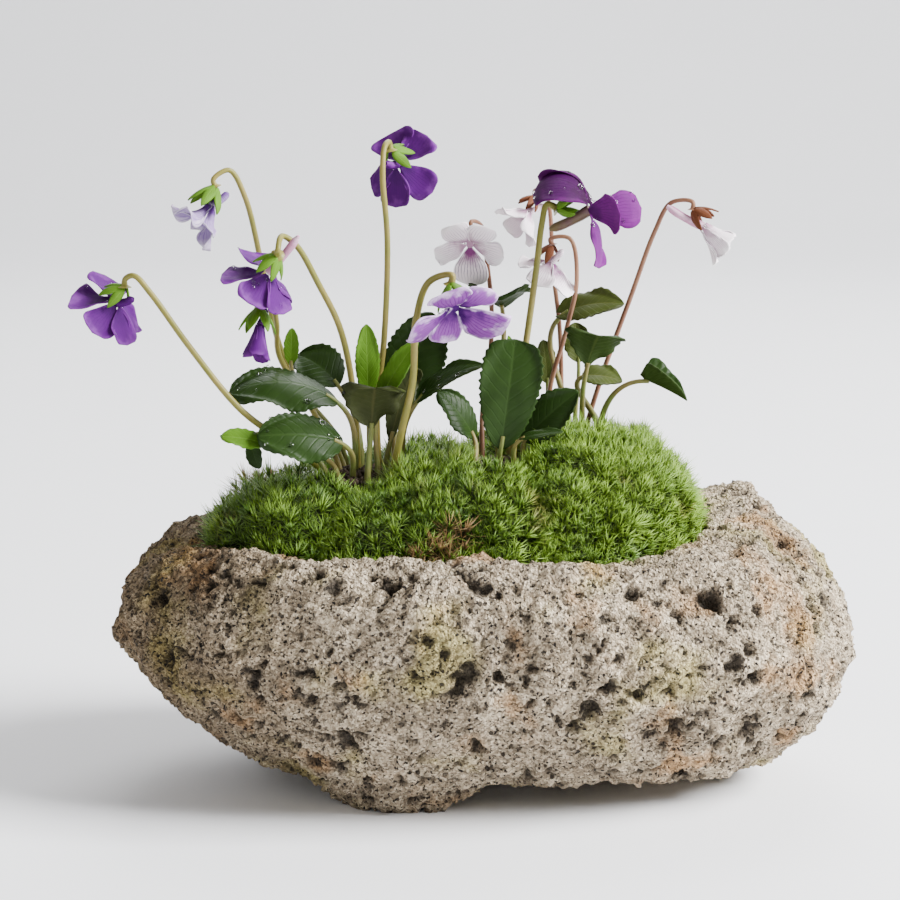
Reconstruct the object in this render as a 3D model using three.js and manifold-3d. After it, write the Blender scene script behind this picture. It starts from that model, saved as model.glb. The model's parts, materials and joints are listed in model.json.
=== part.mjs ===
// A potted viola planter: two kinds of violet and cushions of moss in a bowl of rough volcanic stone.
// Millimetres, +Z up. The plants and the bowl are set out from a point under the middle of the rock, with the
// front at -Y, and the last lines shift the whole planter so that its origin is the middle of its base.
import * as THREE from "three";
import { ImprovedNoise } from "three/addons/math/ImprovedNoise.js";
import { mergeVertices } from "three/addons/utils/BufferGeometryUtils.js";
import Module from "manifold-3d";

const wasm = await Module();
wasm.setup();

// Driving dimensions of the stone bowl

const STONE = {
  exponent: 2.5, // of the superellipse that its level outlines follow
  around: 60,
  rimHeight: 59,
  knobHeight: 6.5, // the high corner of the rim, at the right and to the back
  knobAngle: 14,
  knobSpread: 26,
  archHeight: 6, // of the underside between the feet
  footSink: 3, // how far the rough feet reach below the level they are ground flat at
  facetSize: 24, // of the broad facets of the rock
  facetDepth: 2.2,
  lumpSize: 9.5, // of the knobs and hollows on them
  lumpDepth: 3,
  sole: [30, 40, 18], // how far the underside's inner ring reaches left, right and to the front or back
  lipInset: 4, // of the rim's inner edge from the mouth
  lipDrop: 0.8,
};

// Share of the rim's height, then how far the rock reaches to the left, to the right and to the front or back
const STONE_LEVELS = [
  [0, 52, 66, 33],
  [0.08, 61, 73, 38],
  [0.18, 68, 78, 42.5],
  [0.3, 75.5, 83, 47],
  [0.43, 82, 85, 50.5],
  [0.56, 85, 84.5, 52],
  [0.7, 84.3, 81, 51.8],
  [0.82, 82, 75.5, 50.5],
  [0.93, 77.5, 68.5, 47.5],
  [1, 69, 63, 43.5],
];

// Middle and reach of each foot
const FEET = [
  [-21, -27, 19],
  [50, -1, 19],
  [-36, 21, 17],
  [32, 23, 16],
];

const HOLLOW = {
  middle: -7.5,
  halfWidth: 58,
  halfDepth: 38,
  exponent: 2.3,
  around: 32,
  floor: 14,
  floorShare: 0.62, // size of the floor against the mouth
  wallFoot: 45, // height where the upright wall starts
  drainRadius: 5.5,
};

const MESH = { bars: 4, pitch: 5, bar: 1.4, thickness: 0.8 };

const GAP = 0.35; // kept between pieces that touch

// The planting

const MOSS = {
  edge: 59, // height of the moss at the rim
  depth: 8, // of the moss over the soil
  shift: 3, // how far behind the middle the ridge lies
  roundness: 2.6,
  steepness: 0.7,
  tuft: 3.2, // height of the tufts that stand up out of a cushion
  tuftLean: 1.1,
  shoulder: 2.4, // how far a cushion's edge drops below its middle
};

// Height of the moss along its ridge, from left to right
const MOSS_RIDGE = [
  [-65.5, 59],
  [-57.5, 65.8],
  [-43.5, 69.8],
  [-32, 70.5],
  [-15, 75],
  [0, 78.5],
  [17, 81],
  [35.6, 78.8],
  [45, 71.7],
  [50.5, 60],
];

// Middle of each cushion and its number of rings of tufts
const CUSHIONS = {
  moss_left: [-47, -6, 6],
  moss_front: [-12, -24, 6],
  moss_right: [28, -9, 6],
  moss_back_left: [-30, 23, 4],
  moss_back_right: [17, 28, 4],
};

// Bare soil where each group of plants rises: middle, height of the soil, radius
const CROWNS = {
  left: { x: -28.5, y: -0.5, z: 72.5, radius: 11.5 },
  middle: { x: 2.5, y: -7, z: 76, radius: 9.5 },
  right: { x: 19.5, y: 13, z: 79, radius: 9.8 },
};
const CROWN_SLOPE = 1.6; // how far a crown's soil drops from its middle to its edge
const CROWN_ROOT = 14; // how deep a crown reaches into the soil
const BARE_PATCH = { x: -42, y: 5, radius: 6.5 };
const ROOT_DEPTH = 5;
const HOLE_CLEARANCE = 0.75;
const LEAF_STALK = [0.6, 0.75]; // radius of the stalk of a small leaf and of a large one
const LARGE_LEAF = 7; // width from which a leaf is a large one

const BLADE = 0.6; // thickness of the leaves and petals
const STALK_STEP = 4.7; // length of the straight pieces of a flower's stalk

const COLOURS = {
  stone: [0xb3a797, 0.95],
  soil: [0x3b2c20, 1],
  net: [0x22262a, 0.6],
  moss: [0x6f9c2b, 0.9],
  darkLeaf: [0x2f5230, 0.45],
  brightLeaf: [0x4f9a2e, 0.4],
  oliveLeaf: [0x6c6f35, 0.5],
  purpleStalk: [0x9aa05a, 0.5],
  paleStalk: [0xa07466, 0.5],
  violet: [0x6a36a8, 0.55],
  lilac: [0xa884d8, 0.55],
  withered: [0xa99fd0, 0.6],
  pink: [0xe6d2e0, 0.55],
};

// Small tools

const { lerp, clamp, degToRad, seededRandom } = THREE.MathUtils;
const vec = (x, y, z) => new THREE.Vector3(x, y, z);
const noise = new ImprovedNoise();

function material([colour, roughness]) {
  return new THREE.MeshStandardMaterial({ color: colour, roughness, metalness: 0 });
}

// A value read from rows of [position, value], with straight lines between them
function along(rows, position, column = 1) {
  const last = rows.length - 1;
  if (position <= rows[0][0]) return rows[0][column];
  if (position >= rows[last][0]) return rows[last][column];
  const next = rows.findIndex((row) => row[0] > position);
  const [low, high] = [rows[next - 1], rows[next]];
  return lerp(low[column], high[column], (position - low[0]) / (high[0] - low[0]));
}

function signedPower(value, power) {
  return Math.sign(value) * Math.abs(value) ** power;
}

// A closed geometry as a solid, its shared corners merged and its collapsed faces dropped
function solidOf(geometry) {
  const bare = geometry.clone();
  bare.deleteAttribute("normal");
  bare.deleteAttribute("uv");
  const merged = mergeVertices(bare, 1e-4);
  const triVerts = [];
  for (let i = 0; i < merged.index.count; i += 3) {
    const [a, b, c] = merged.index.array.slice(i, i + 3);
    if (a !== b && b !== c && c !== a) triVerts.push(a, b, c);
  }
  return new wasm.Manifold(
    new wasm.Mesh({
      numProp: 3,
      vertProperties: merged.attributes.position.array,
      triVerts: new Uint32Array(triVerts),
    }),
  );
}

function geometryOf(solid) {
  const { vertProperties, triVerts } = solid.getMesh();
  const geometry = new THREE.BufferGeometry();
  geometry.setAttribute("position", new THREE.BufferAttribute(vertProperties, 3));
  geometry.setIndex(new THREE.BufferAttribute(triVerts, 1));
  geometry.computeVertexNormals();
  return geometry;
}

function geometryFrom(points, faces) {
  const geometry = new THREE.BufferGeometry();
  const numbers = points.flatMap((point) => point.toArray());
  geometry.setAttribute("position", new THREE.Float32BufferAttribute(numbers, 3));
  geometry.setIndex(faces.flat());
  return geometry;
}

// Level rings, lowest first and anticlockwise from above, joined into a skin that two points close
function loft(rings, bottom, top) {
  const count = rings[0].length;
  const points = [...rings.flat(), bottom, top];
  const faces = [];
  for (let i = 0; i < count; i++) {
    const j = (i + 1) % count;
    for (let k = 0; k < rings.length - 1; k++) {
      const [a, b] = [k * count + i, k * count + j];
      faces.push([a, b, b + count], [a, b + count, a + count]);
    }
    const high = (rings.length - 1) * count;
    faces.push([points.length - 2, j, i], [points.length - 1, high + i, high + j]);
  }
  return solidOf(geometryFrom(points, faces));
}

function box(width, depth, height, x, y, z) {
  return solidOf(new THREE.BoxGeometry(width, depth, height).translate(x, y, z));
}

function post(radius, low, high, x, y, sides = 12) {
  const cylinder = new THREE.CylinderGeometry(radius, radius, high - low, sides);
  cylinder.rotateX(Math.PI / 2).translate(x, y, (low + high) / 2);
  return solidOf(cylinder);
}

// A round stem along a smooth curve through the points
function stem(points, radius, steps, sides = 5) {
  const section = new THREE.Shape();
  for (let i = 0; i < sides; i++) {
    const turn = (2 * Math.PI * i) / sides;
    const corner = [radius * Math.cos(turn), radius * Math.sin(turn)];
    if (i) section.lineTo(...corner);
    else section.moveTo(...corner);
  }
  const extrudePath = new THREE.CatmullRomCurve3(points, false, "centripetal");
  return solidOf(new THREE.ExtrudeGeometry(section, { steps, extrudePath }));
}

// Points of one face of a thin blade, side half-thicknesses off the surface place(u, v), over rows (u from
// 0 to 1) and columns (v from -1 to 1)
function facePoints(place, rowsAt, columns, side) {
  const [step, nearTip] = [1e-3, 0.96];
  const points = [];
  for (const u of rowsAt) {
    for (let column = 0; column <= columns; column++) {
      const v = (2 * column) / columns - 1;
      // the surface narrows to a point at its tip, where it has no width
      const [nearU, nearV] = u < 1 ? [Math.max(u, step), v] : [nearTip, 0];
      const alongU = place(nearU + step, nearV).sub(place(nearU - step, nearV));
      const acrossV = place(nearU, nearV + step).sub(place(nearU, nearV - step));
      points.push(place(u, v).addScaledVector(acrossV.cross(alongU).normalize(), (side * BLADE) / 2));
    }
  }
  return points;
}

// The triangles between the two faces' points, mirrored at the midrib and split alike on both faces
function faceTriangles(rowCount, columns, first, second) {
  const faces = [];
  for (let row = 0; row < rowCount - 1; row++) {
    for (let column = 0; column < columns; column++) {
      const a = row * (columns + 1) + column;
      const [b, c, d] = [a + 1, a + columns + 2, a + columns + 1];
      const split = column < columns / 2 ? [[a, b, c], [a, c, d]] : [[a, b, d], [b, c, d]];
      for (const [p, q, r] of split) {
        faces.push([first + p, first + q, first + r], [second + p, second + r, second + q]);
      }
    }
  }
  return faces;
}

// The wall along a chain of points of the first face, whose twins on the second face lie apart further on
function wall(chain, apart) {
  return chain.slice(1).flatMap((b, i) => {
    const a = chain[i];
    return [[b, a, a + apart], [b, a + apart, b + apart]];
  });
}

// Up one edge of a blade, from its root to its tip, and down the other
function outerEdge(rowCount, columns, first) {
  const rows = Array.from({ length: rowCount }, (_, row) => row);
  const up = rows.map((row) => first + row * (columns + 1) + columns);
  const down = rows.reverse().map((row) => first + row * (columns + 1));
  return [...up, ...down];
}

// A thin closed blade over the surface place(u, v), which ends in a point at u = 1
function blade(place, rowsAt, columns) {
  const points = [1, -1].flatMap((side) => facePoints(place, rowsAt, columns, side));
  const apart = points.length / 2;
  const root = Array.from({ length: columns + 1 }, (_, column) => column);
  return solidOf(
    geometryFrom(points, [
      ...faceTriangles(rowsAt.length, columns, 0, apart),
      ...wall([...root, ...outerEdge(rowsAt.length, columns, 0).slice(1)], apart),
    ]),
  );
}

// Petals or sepals that spring from one middle, as one closed skin. The surfaces are listed anticlockwise,
// seen against the z axis, and their roots form a ring. The point front closes it on one side, and the
// other side runs through the rings of the tail, each with its middle and its size against the ring, to the
// point back.
function lobedSkin(places, rowsAt, front, tail, back) {
  const columns = 2;
  const lobe = rowsAt.length * (columns + 1);
  const apart = places.length * lobe;
  const points = [1, -1].flatMap((side) =>
    places.flatMap((place) => facePoints(place, rowsAt, columns, side)),
  );
  const faces = places.flatMap((_, i) => [
    ...faceTriangles(rowsAt.length, columns, i * lobe, apart + i * lobe),
    ...wall(outerEdge(rowsAt.length, columns, i * lobe), apart),
  ]);
  let ring = places.flatMap((_, i) => [0, 1, 2].map((column) => i * lobe + column));
  points.push(front);
  ring.forEach((a, i) => {
    const b = ring[(i + 1) % ring.length];
    faces.push([a + apart, b + apart, points.length - 1]);
    if (i % 3 === 2) faces.push(...wall([b, a], apart));
  });
  for (const { middle: ringMiddle, size } of tail) {
    const next = ring.map((a) => {
      const inner = points[a].clone().multiplyScalar(size).setZ(0);
      return points.push(inner.add(ringMiddle)) - 1;
    });
    ring.forEach((a, i) => {
      const j = (i + 1) % ring.length;
      faces.push([ring[j], a, next[i]], [ring[j], next[i], next[j]]);
    });
    ring = next;
  }
  points.push(back);
  ring.forEach((a, i) => faces.push([ring[(i + 1) % ring.length], a, points.length - 1]));
  return solidOf(geometryFrom(points, faces));
}

// Rows of a blade, closer together towards its tip
function rowsTowardsTip(rows, crowding) {
  return Array.from({ length: rows + 1 }, (_, i) => 1 - (1 - i / rows) ** crowding);
}

// Half-width of a blade at u against its widest, for a shape that rises as u^rise and closes as (1 - u)^close
function swell(u, rise, close) {
  const widest = rise / (rise + close);
  const most = widest ** rise * (1 - widest) ** close;
  return (clamp(u, 0, 1) ** rise * clamp(1 - u, 0, 1) ** close) / most;
}

// The stone bowl

function rimHeight(turn) {
  const angle = THREE.MathUtils.radToDeg(Math.atan2(Math.sin(turn), Math.cos(turn)));
  const knob = Math.exp(-(((angle - STONE.knobAngle) / STONE.knobSpread) ** 2));
  const waves = 0.9 * Math.sin(3 * turn + 1) + 0.7 * Math.sin(7 * turn);
  return STONE.rimHeight + STONE.knobHeight * knob + waves * (1 - knob);
}

function outline(turn, left, right, depth, exponent) {
  const reach = Math.cos(turn) > 0 ? right : left;
  return vec(
    reach * signedPower(Math.cos(turn), 2 / exponent),
    depth * signedPower(Math.sin(turn), 2 / exponent),
    0,
  );
}

// Height of the rough underside before the feet are ground flat
function underside(x, y) {
  const foot = Math.max(
    ...FEET.map(([fx, fy, reach]) => 1 - Math.min(1, Math.hypot(x - fx, y - fy) / reach)),
  );
  const rounded = Math.sin((Math.min(1, 1.4 * foot) * Math.PI) / 2);
  return STONE.archHeight - (STONE.archHeight + STONE.footSink) * rounded;
}

function roughness(point) {
  const facet = noise.noise(...point.clone().divideScalar(STONE.facetSize).addScalar(7).toArray());
  const lump = noise.noise(...point.clone().divideScalar(STONE.lumpSize).addScalar(31).toArray());
  return STONE.facetDepth * facet + STONE.lumpDepth * lump;
}

function rock() {
  const turns = Array.from({ length: STONE.around }, (_, i) => (2 * Math.PI * i) / STONE.around);
  const rings = STONE_LEVELS.map(([share, left, right, depth]) =>
    turns.map((turn) => {
      const point = outline(turn, left, right, depth, STONE.exponent);
      const low = underside(point.x, point.y);
      point.z = lerp(low, rimHeight(turn), share);
      const swelling = roughness(point);
      point.addScaledVector(vec(point.x, point.y, 0).normalize(), swelling);
      point.z += share > 0 ? 0.4 * swelling : 0;
      return point;
    }),
  );
  const sole = turns.map((turn) => {
    const point = outline(turn, ...STONE.sole, STONE.exponent);
    point.z = underside(point.x, point.y);
    return point;
  });
  const lid = turns.map((turn) => mouth(turn, STONE.lipInset).setZ(rimHeight(turn) - STONE.lipDrop));
  return loft([sole, ...rings, lid], vec(0, 0, underside(0, 0)), vec(HOLLOW.middle, 0, STONE.rimHeight));
}

// A point of the mouth's outline, moved inwards by inset
function mouth(turn, inset = 0) {
  const { halfWidth, halfDepth, exponent, middle } = HOLLOW;
  const point = outline(turn, halfWidth - inset, halfWidth - inset, halfDepth - inset, exponent);
  return point.add(vec(middle, 0, 0));
}

function mouthRing(inset, share, z) {
  return Array.from({ length: HOLLOW.around }, (_, i) => {
    const point = mouth((2 * Math.PI * i) / HOLLOW.around, inset);
    return vec(HOLLOW.middle + share * (point.x - HOLLOW.middle), share * point.y, z);
  });
}

// The hollow, or what fills it, from its floor up to the ring at the height of its top
function hollow(inset, topRings, top) {
  const { floor, floorShare, wallFoot, middle } = HOLLOW;
  const rings = [
    mouthRing(inset, floorShare, floor + inset),
    mouthRing(inset, lerp(floorShare, 1, 0.7), lerp(floor, wallFoot, 0.4)),
    mouthRing(inset, 1, wallFoot),
    ...topRings,
  ];
  return loft(rings, vec(middle, 0, floor + inset), top);
}

function stonePot() {
  const sky = 100;
  const hole = hollow(0, [mouthRing(0, 1, sky)], vec(HOLLOW.middle, 0, sky));
  const drain = post(HOLLOW.drainRadius, -sky, sky, HOLLOW.middle, 0);
  const ground = box(300, 300, sky, 0, 0, -sky / 2);
  return rock().subtract(hole).subtract(drain).subtract(ground);
}

function drainMesh() {
  const { bars, pitch, bar, thickness } = MESH;
  const side = (bars - 1) * pitch + bar;
  const height = HOLLOW.floor + GAP + thickness / 2;
  let net = box(side, side, thickness, HOLLOW.middle, 0, height);
  for (let i = 1; i < bars; i++) {
    for (let j = 1; j < bars; j++) {
      const [x, y] = [(i - bars / 2) * pitch, (j - bars / 2) * pitch];
      net = net.subtract(box(pitch - bar, pitch - bar, 2 * thickness, HOLLOW.middle + x, y, height));
    }
  }
  return net;
}

// The soil and the moss

// Height of the smooth mound that the moss covers
function mossTop(x, y) {
  const { middle, halfWidth, halfDepth, exponent } = HOLLOW;
  const across = clamp(Math.abs(x - middle) / halfWidth, 0, 0.995);
  const half = halfDepth * (1 - across ** exponent) ** (1 / exponent);
  const out = clamp(Math.abs(y - MOSS.shift * (half / halfDepth)) / half, 0, 1);
  const ridge = along(MOSS_RIDGE, x);
  return MOSS.edge + (ridge - MOSS.edge) * (1 - out ** MOSS.roundness) ** MOSS.steepness;
}

// The soil's own shape, or with lift the space that the moss over it leaves free
function soilMound(lift) {
  const inset = lift ? 0 : GAP;
  const height = ({ x, y }) => mossTop(x, y) - MOSS.depth + lift;
  const rings = [1, 0.84, 0.56, 0.28].map((share) => {
    const heights = mouthRing(GAP, share, 0).map(height);
    return mouthRing(inset, share, 0).map((point, i) => point.setZ(heights[i]));
  });
  const top = vec(HOLLOW.middle, 0, height(vec(HOLLOW.middle, 0, 0)));
  let soil = hollow(inset, rings, top);
  for (const { x, y, z, radius } of Object.values(CROWNS)) {
    const [foot, shoulder] = [radius - 0.4 + lift, radius - 1.5 + lift];
    const profile = [[0, -CROWN_ROOT], [foot, -CROWN_ROOT], [shoulder, lift - CROWN_SLOPE], [0, lift]];
    const crown = new THREE.LatheGeometry(profile.map((pair) => new THREE.Vector2(...pair)), 9);
    soil = soil.add(solidOf(crown.rotateX(Math.PI / 2).translate(x, y, z)));
  }
  return soil;
}

// How far a cushion may reach from its middle in one direction, before it meets a neighbour or the mouth
function cushionReach([cx, cy], turn) {
  const [dx, dy] = [Math.cos(turn), Math.sin(turn)];
  let reach = Infinity;
  for (const [nx, ny] of Object.values(CUSHIONS)) {
    const [tx, ty] = [nx - cx, ny - cy];
    const towards = dx * tx + dy * ty;
    if (towards > 1e-6) reach = Math.min(reach, (tx * tx + ty * ty) / 2 / towards);
  }
  const { middle, halfWidth, halfDepth, exponent } = HOLLOW;
  const outside = (length) => {
    const across = Math.abs(cx + length * dx - middle) / (halfWidth - 2 * GAP);
    const deep = Math.abs(cy + length * dy) / (halfDepth - 2 * GAP);
    return across ** exponent + deep ** exponent > 1;
  };
  let [inner, outer] = [0, 2 * halfWidth];
  for (let i = 0; i < 40; i++) {
    const between = (inner + outer) / 2;
    if (outside(between)) outer = between;
    else inner = between;
  }
  return Math.min(reach - GAP, inner);
}

// One cushion: rings of points about its middle, every other one drawn up into a leaning tuft
function mossCushion(site, spaceBelow) {
  const [cx, cy, ringCount] = site;
  const around = 6 * ringCount;
  const reaches = Array.from({ length: around }, (_, i) => cushionReach(site, (2 * Math.PI * i) / around));
  const spot = (ring, i) => {
    const turn = (2 * Math.PI * i) / Math.max(1, 6 * ring);
    const place = (turn / (2 * Math.PI)) * around;
    const [low, share] = [Math.floor(place) % around, place % 1];
    const reach = lerp(reaches[low], reaches[(low + 1) % around], share);
    const length = (reach * ring) / ringCount;
    return [cx + length * Math.cos(turn), cy + length * Math.sin(turn)];
  };
  const start = (ring) => (ring ? 1 + 3 * ring * (ring - 1) : 0);
  const points = [];
  for (let ring = 0; ring <= ringCount; ring++) {
    for (let i = 0; i < Math.max(1, 6 * ring); i++) {
      const [x, y] = spot(ring, i);
      const isTuft = (ring + i) % 2 === 0 && ring < ringCount;
      const lean = isTuft ? MOSS.tuftLean : 0;
      points.push(
        vec(
          x + lean * (2 * seededRandom() - 1),
          y + lean * (2 * seededRandom() - 1),
          mossTop(x, y) -
            MOSS.shoulder * (ring / ringCount) ** 4 +
            (isTuft ? MOSS.tuft * (0.6 + 0.4 * seededRandom()) : -0.4),
        ),
      );
    }
  }
  const faces = [];
  for (let ring = 1; ring <= ringCount; ring++) {
    for (let sector = 0; sector < 6; sector++) {
      for (let i = 0; i < ring; i++) {
        const outerAt = (n) => start(ring) + ((sector * ring + n) % (6 * ring));
        const innerAt = (n) => start(ring - 1) + ((sector * (ring - 1) + n) % Math.max(1, 6 * (ring - 1)));
        faces.push([innerAt(i), outerAt(i), outerAt(i + 1)]);
        if (i < ring - 1) faces.push([innerAt(i), outerAt(i + 1), innerAt(i + 1)]);
      }
    }
  }
  // The side wall and the underside, well below the space that the soil takes away
  const rim = start(ringCount);
  const below = points.length;
  for (let i = 0; i < around; i++) points.push(points[rim + i].clone().setZ(HOLLOW.wallFoot + 1));
  points.push(vec(cx, cy, HOLLOW.wallFoot + 1));
  for (let i = 0; i < around; i++) {
    const j = (i + 1) % around;
    faces.push([rim + i, below + i, below + j], [rim + i, below + j, rim + j]);
    faces.push([points.length - 1, below + j, below + i]);
  }
  return solidOf(geometryFrom(points, faces)).subtract(spaceBelow);
}

// Everything that the moss keeps clear of: the soil and the bare patches
function spaceUnderMoss() {
  const sky = 110;
  let space = soilMound(GAP + 0.1);
  for (const { x, y, radius } of [...Object.values(CROWNS), BARE_PATCH]) {
    space = space.add(post(radius, HOLLOW.wallFoot, sky, x, y, 9));
  }
  return space;
}

// The leaves

// Where a stem leaves the soil of its crown
function footOf(crown, [dx, dy]) {
  const { x, y, z, radius } = CROWNS[crown];
  const out = Math.hypot(dx, dy) / radius;
  return vec(x + dx, y + dy, z - CROWN_SLOPE * out);
}

// A leaf runs from its base, where the leaf stalk joins, to its tip. up is the way its upper face looks,
// fold how steeply its halves rise from the midrib, arch how far its middle stands above the line from base
// to tip, lobe how far its base reaches back beside the stalk, and wave how far its edge goes up and down.
const LEAF = {
  width: 8, up: [0, -0.4, 0.9], fold: 0.15, arch: 1.5, lobe: 0, wave: 0.5, rise: 0.55, close: 0.6,
};

const LEAVES = {
  left_leaf_1: {
    crown: "left", foot: [-2.2, -2.2], base: [-34.6, -2, 89], tip: [-59.4, -6, 91.5],
    width: 19, up: [-0.05, -0.4, 0.92], arch: 4.2, fold: -0.12, wave: 0.9, colour: "darkLeaf",
  },
  left_leaf_2: {
    crown: "left", foot: [-2.5, -6.8], base: [-33, -13, 81.4], tip: [-52, -20, 83.9],
    width: 13.4, up: [0, -0.8, 0.6], arch: 2, fold: -0.1, wave: 0.7, colour: "darkLeaf",
  },
  left_leaf_3: {
    crown: "left", foot: [-1, 7.2], base: [-35, 13, 90.5], tip: [-45, 18, 97],
    width: 13, up: [0.2, -0.8, 0.7], arch: 2, wave: 0.6, colour: "darkLeaf",
  },
  left_leaf_4: {
    crown: "left", foot: [-5.8, -8], base: [-50, -17, 81.5], tip: [-60.4, -18, 83.5],
    width: 5.5, up: [0, -0.7, 0.7], arch: 0.8, wave: 0.3, colour: "brightLeaf",
  },
  left_leaf_5: {
    crown: "left", foot: [-8.6, -4.6], base: [-54.4, -6, 80.3], tip: [-52.4, -8, 74.4],
    width: 4.4, up: [-0.4, -0.85, 0.2], arch: 0.6, wave: 0.2, colour: "darkLeaf",
  },
  left_leaf_6: {
    crown: "left", foot: [1.2, -1.2], base: [-27.6, -1.5, 90.5], tip: [-27.8, -4, 107.3],
    width: 6, up: [0.1, -1, 0.15], arch: 0.8, wave: 0.3, colour: "brightLeaf",
  },
  left_leaf_7: {
    crown: "left", foot: [3.2, -4.8], base: [-24.8, -6, 89.8], tip: [-15.9, -7.5, 104],
    width: 6, up: [-0.4, -0.8, 0.4], arch: 1, wave: 0.3, colour: "brightLeaf",
  },
  left_leaf_8: {
    crown: "left", foot: [1, -9], base: [-26.6, -9.6, 84], tip: [-25.6, -14, 94],
    width: 15, up: [-0.1, 0.95, 0.3], arch: 1, wave: 1.5, rise: 0.8, close: 0.22, colour: "oliveLeaf",
  },
  left_leaf_9: {
    crown: "left", foot: [7, 2.5], base: [-20.8, 6, 87.5], tip: [-12.8, 9, 108.4],
    width: 15, up: [0.1, -0.95, 0.3], arch: 1.5, wave: 0.6, colour: "darkLeaf",
  },
  left_leaf_10: {
    crown: "left", foot: [8.8, -2.4], base: [-16.2, -5, 89.4], tip: [-0.8, -9.5, 98.6],
    width: 8.5, up: [-0.2, -0.4, 0.9], arch: 2, wave: 0.4, colour: "darkLeaf",
  },
  left_leaf_11: {
    crown: "left", foot: [5, -1.4], base: [-22.4, -3, 80], tip: [-16.8, -4, 97.5],
    width: 8, up: [-0.3, 0.8, 0.5], arch: 1, wave: 0.7, rise: 0.7, close: 0.4, colour: "oliveLeaf",
  },
  left_leaf_12: {
    crown: "left", foot: [-4.6, 8.6], base: [-46, 9.6, 96], tip: [-45.6, 8.6, 104.8],
    width: 3.8, up: [0, -1, 0.1], arch: 0.4, wave: 0.1, colour: "brightLeaf",
  },
  middle_leaf_1: {
    crown: "middle", foot: [-0.5, -5.6], base: [3, -14, 80], tip: [6.2, -13, 105],
    width: 14.8, up: [0.05, -1, 0.08], arch: 1, fold: 0.12, wave: 0.4,
    rise: 0.55, close: 0.27, colour: "darkLeaf",
  },
  middle_leaf_2: {
    crown: "middle", foot: [6.2, -3.2], base: [8.2, -9, 81], tip: [20.6, -11, 92.8],
    width: 10, up: [-0.3, -0.85, 0.45], arch: 1, wave: 0.5, colour: "darkLeaf",
  },
  middle_leaf_3: {
    crown: "middle", foot: [-5.4, -1], base: [-3, -4, 81], tip: [-11.5, -6, 92],
    width: 9, up: [0.5, -0.7, 0.5], arch: 1, wave: 0.4, colour: "darkLeaf",
  },
  middle_leaf_4: {
    crown: "middle", foot: [3.6, -6.6], base: [7.2, -17.5, 83], tip: [16.8, -20.5, 85],
    width: 3.6, up: [-0.1, -0.4, 0.9], arch: 0.4, wave: 0.2, colour: "darkLeaf",
  },
  middle_leaf_5: {
    crown: "middle", foot: [0.2, 3], base: [3.6, 9, 109.4], tip: [1.6, -4, 112.8],
    width: 15, up: [0, -0.25, 1], arch: 1.5, fold: 0.4, wave: 0.6, colour: "darkLeaf",
  },
  middle_leaf_6: {
    crown: "middle", foot: [2.5, 7.4], base: [5.8, 0.5, 95], tip: [4.8, -3, 104.5],
    width: 3.2, up: [0.7, -0.7, 0.1], arch: 0.3, wave: 0.1, colour: "brightLeaf",
  },
  right_leaf_1: {
    crown: "right", foot: [0.2, -1], base: [17.8, 14.5, 107.4], tip: [32.2, 10.5, 110.2],
    width: 9.5, up: [-0.05, -0.6, 0.8], arch: 1.5, lobe: 1.5, wave: 0.6, colour: "oliveLeaf",
  },
  right_leaf_2: {
    crown: "right", foot: [3, -5.2], base: [23.2, 2.5, 96.4], tip: [25.6, -2, 104.4],
    width: 15, up: [-0.1, 0.9, 0.4], arch: 0.6, fold: 0.2, wave: 0.6,
    rise: 0.95, close: 0.13, colour: "darkLeaf",
  },
  right_leaf_3: {
    crown: "right", foot: [7.6, 0.4], base: [22.4, 9, 93.4], tip: [31.8, 8, 92.2],
    width: 8, up: [0.1, -0.5, 0.85], arch: 0.8, wave: 0.3, colour: "oliveLeaf",
  },
  right_leaf_4: {
    crown: "right", foot: [7, -4.6], base: [36.6, 4, 93.4], tip: [46.6, 2, 88.6],
    width: 9, up: [0.25, -0.05, 0.95], arch: 0.3, fold: 1.05, lobe: 1.2, wave: 0.2,
    rise: 0.12, close: 0.85, colour: "darkLeaf",
  },
  right_leaf_5: {
    crown: "right", foot: [1.8, 6.8], base: [22.2, 21, 95], tip: [21.4, 23, 104.2],
    width: 7, up: [0.1, -1, 0.2], arch: 0.6, wave: 0.4, colour: "oliveLeaf",
  },
  right_leaf_6: {
    crown: "right", foot: [-4.8, 3.8], base: [14.6, 18, 90.5], tip: [13.4, 16, 101],
    width: 5.5, up: [0.3, -0.9, 0.2], arch: 0.5, wave: 0.3, colour: "oliveLeaf",
  },
};

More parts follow.
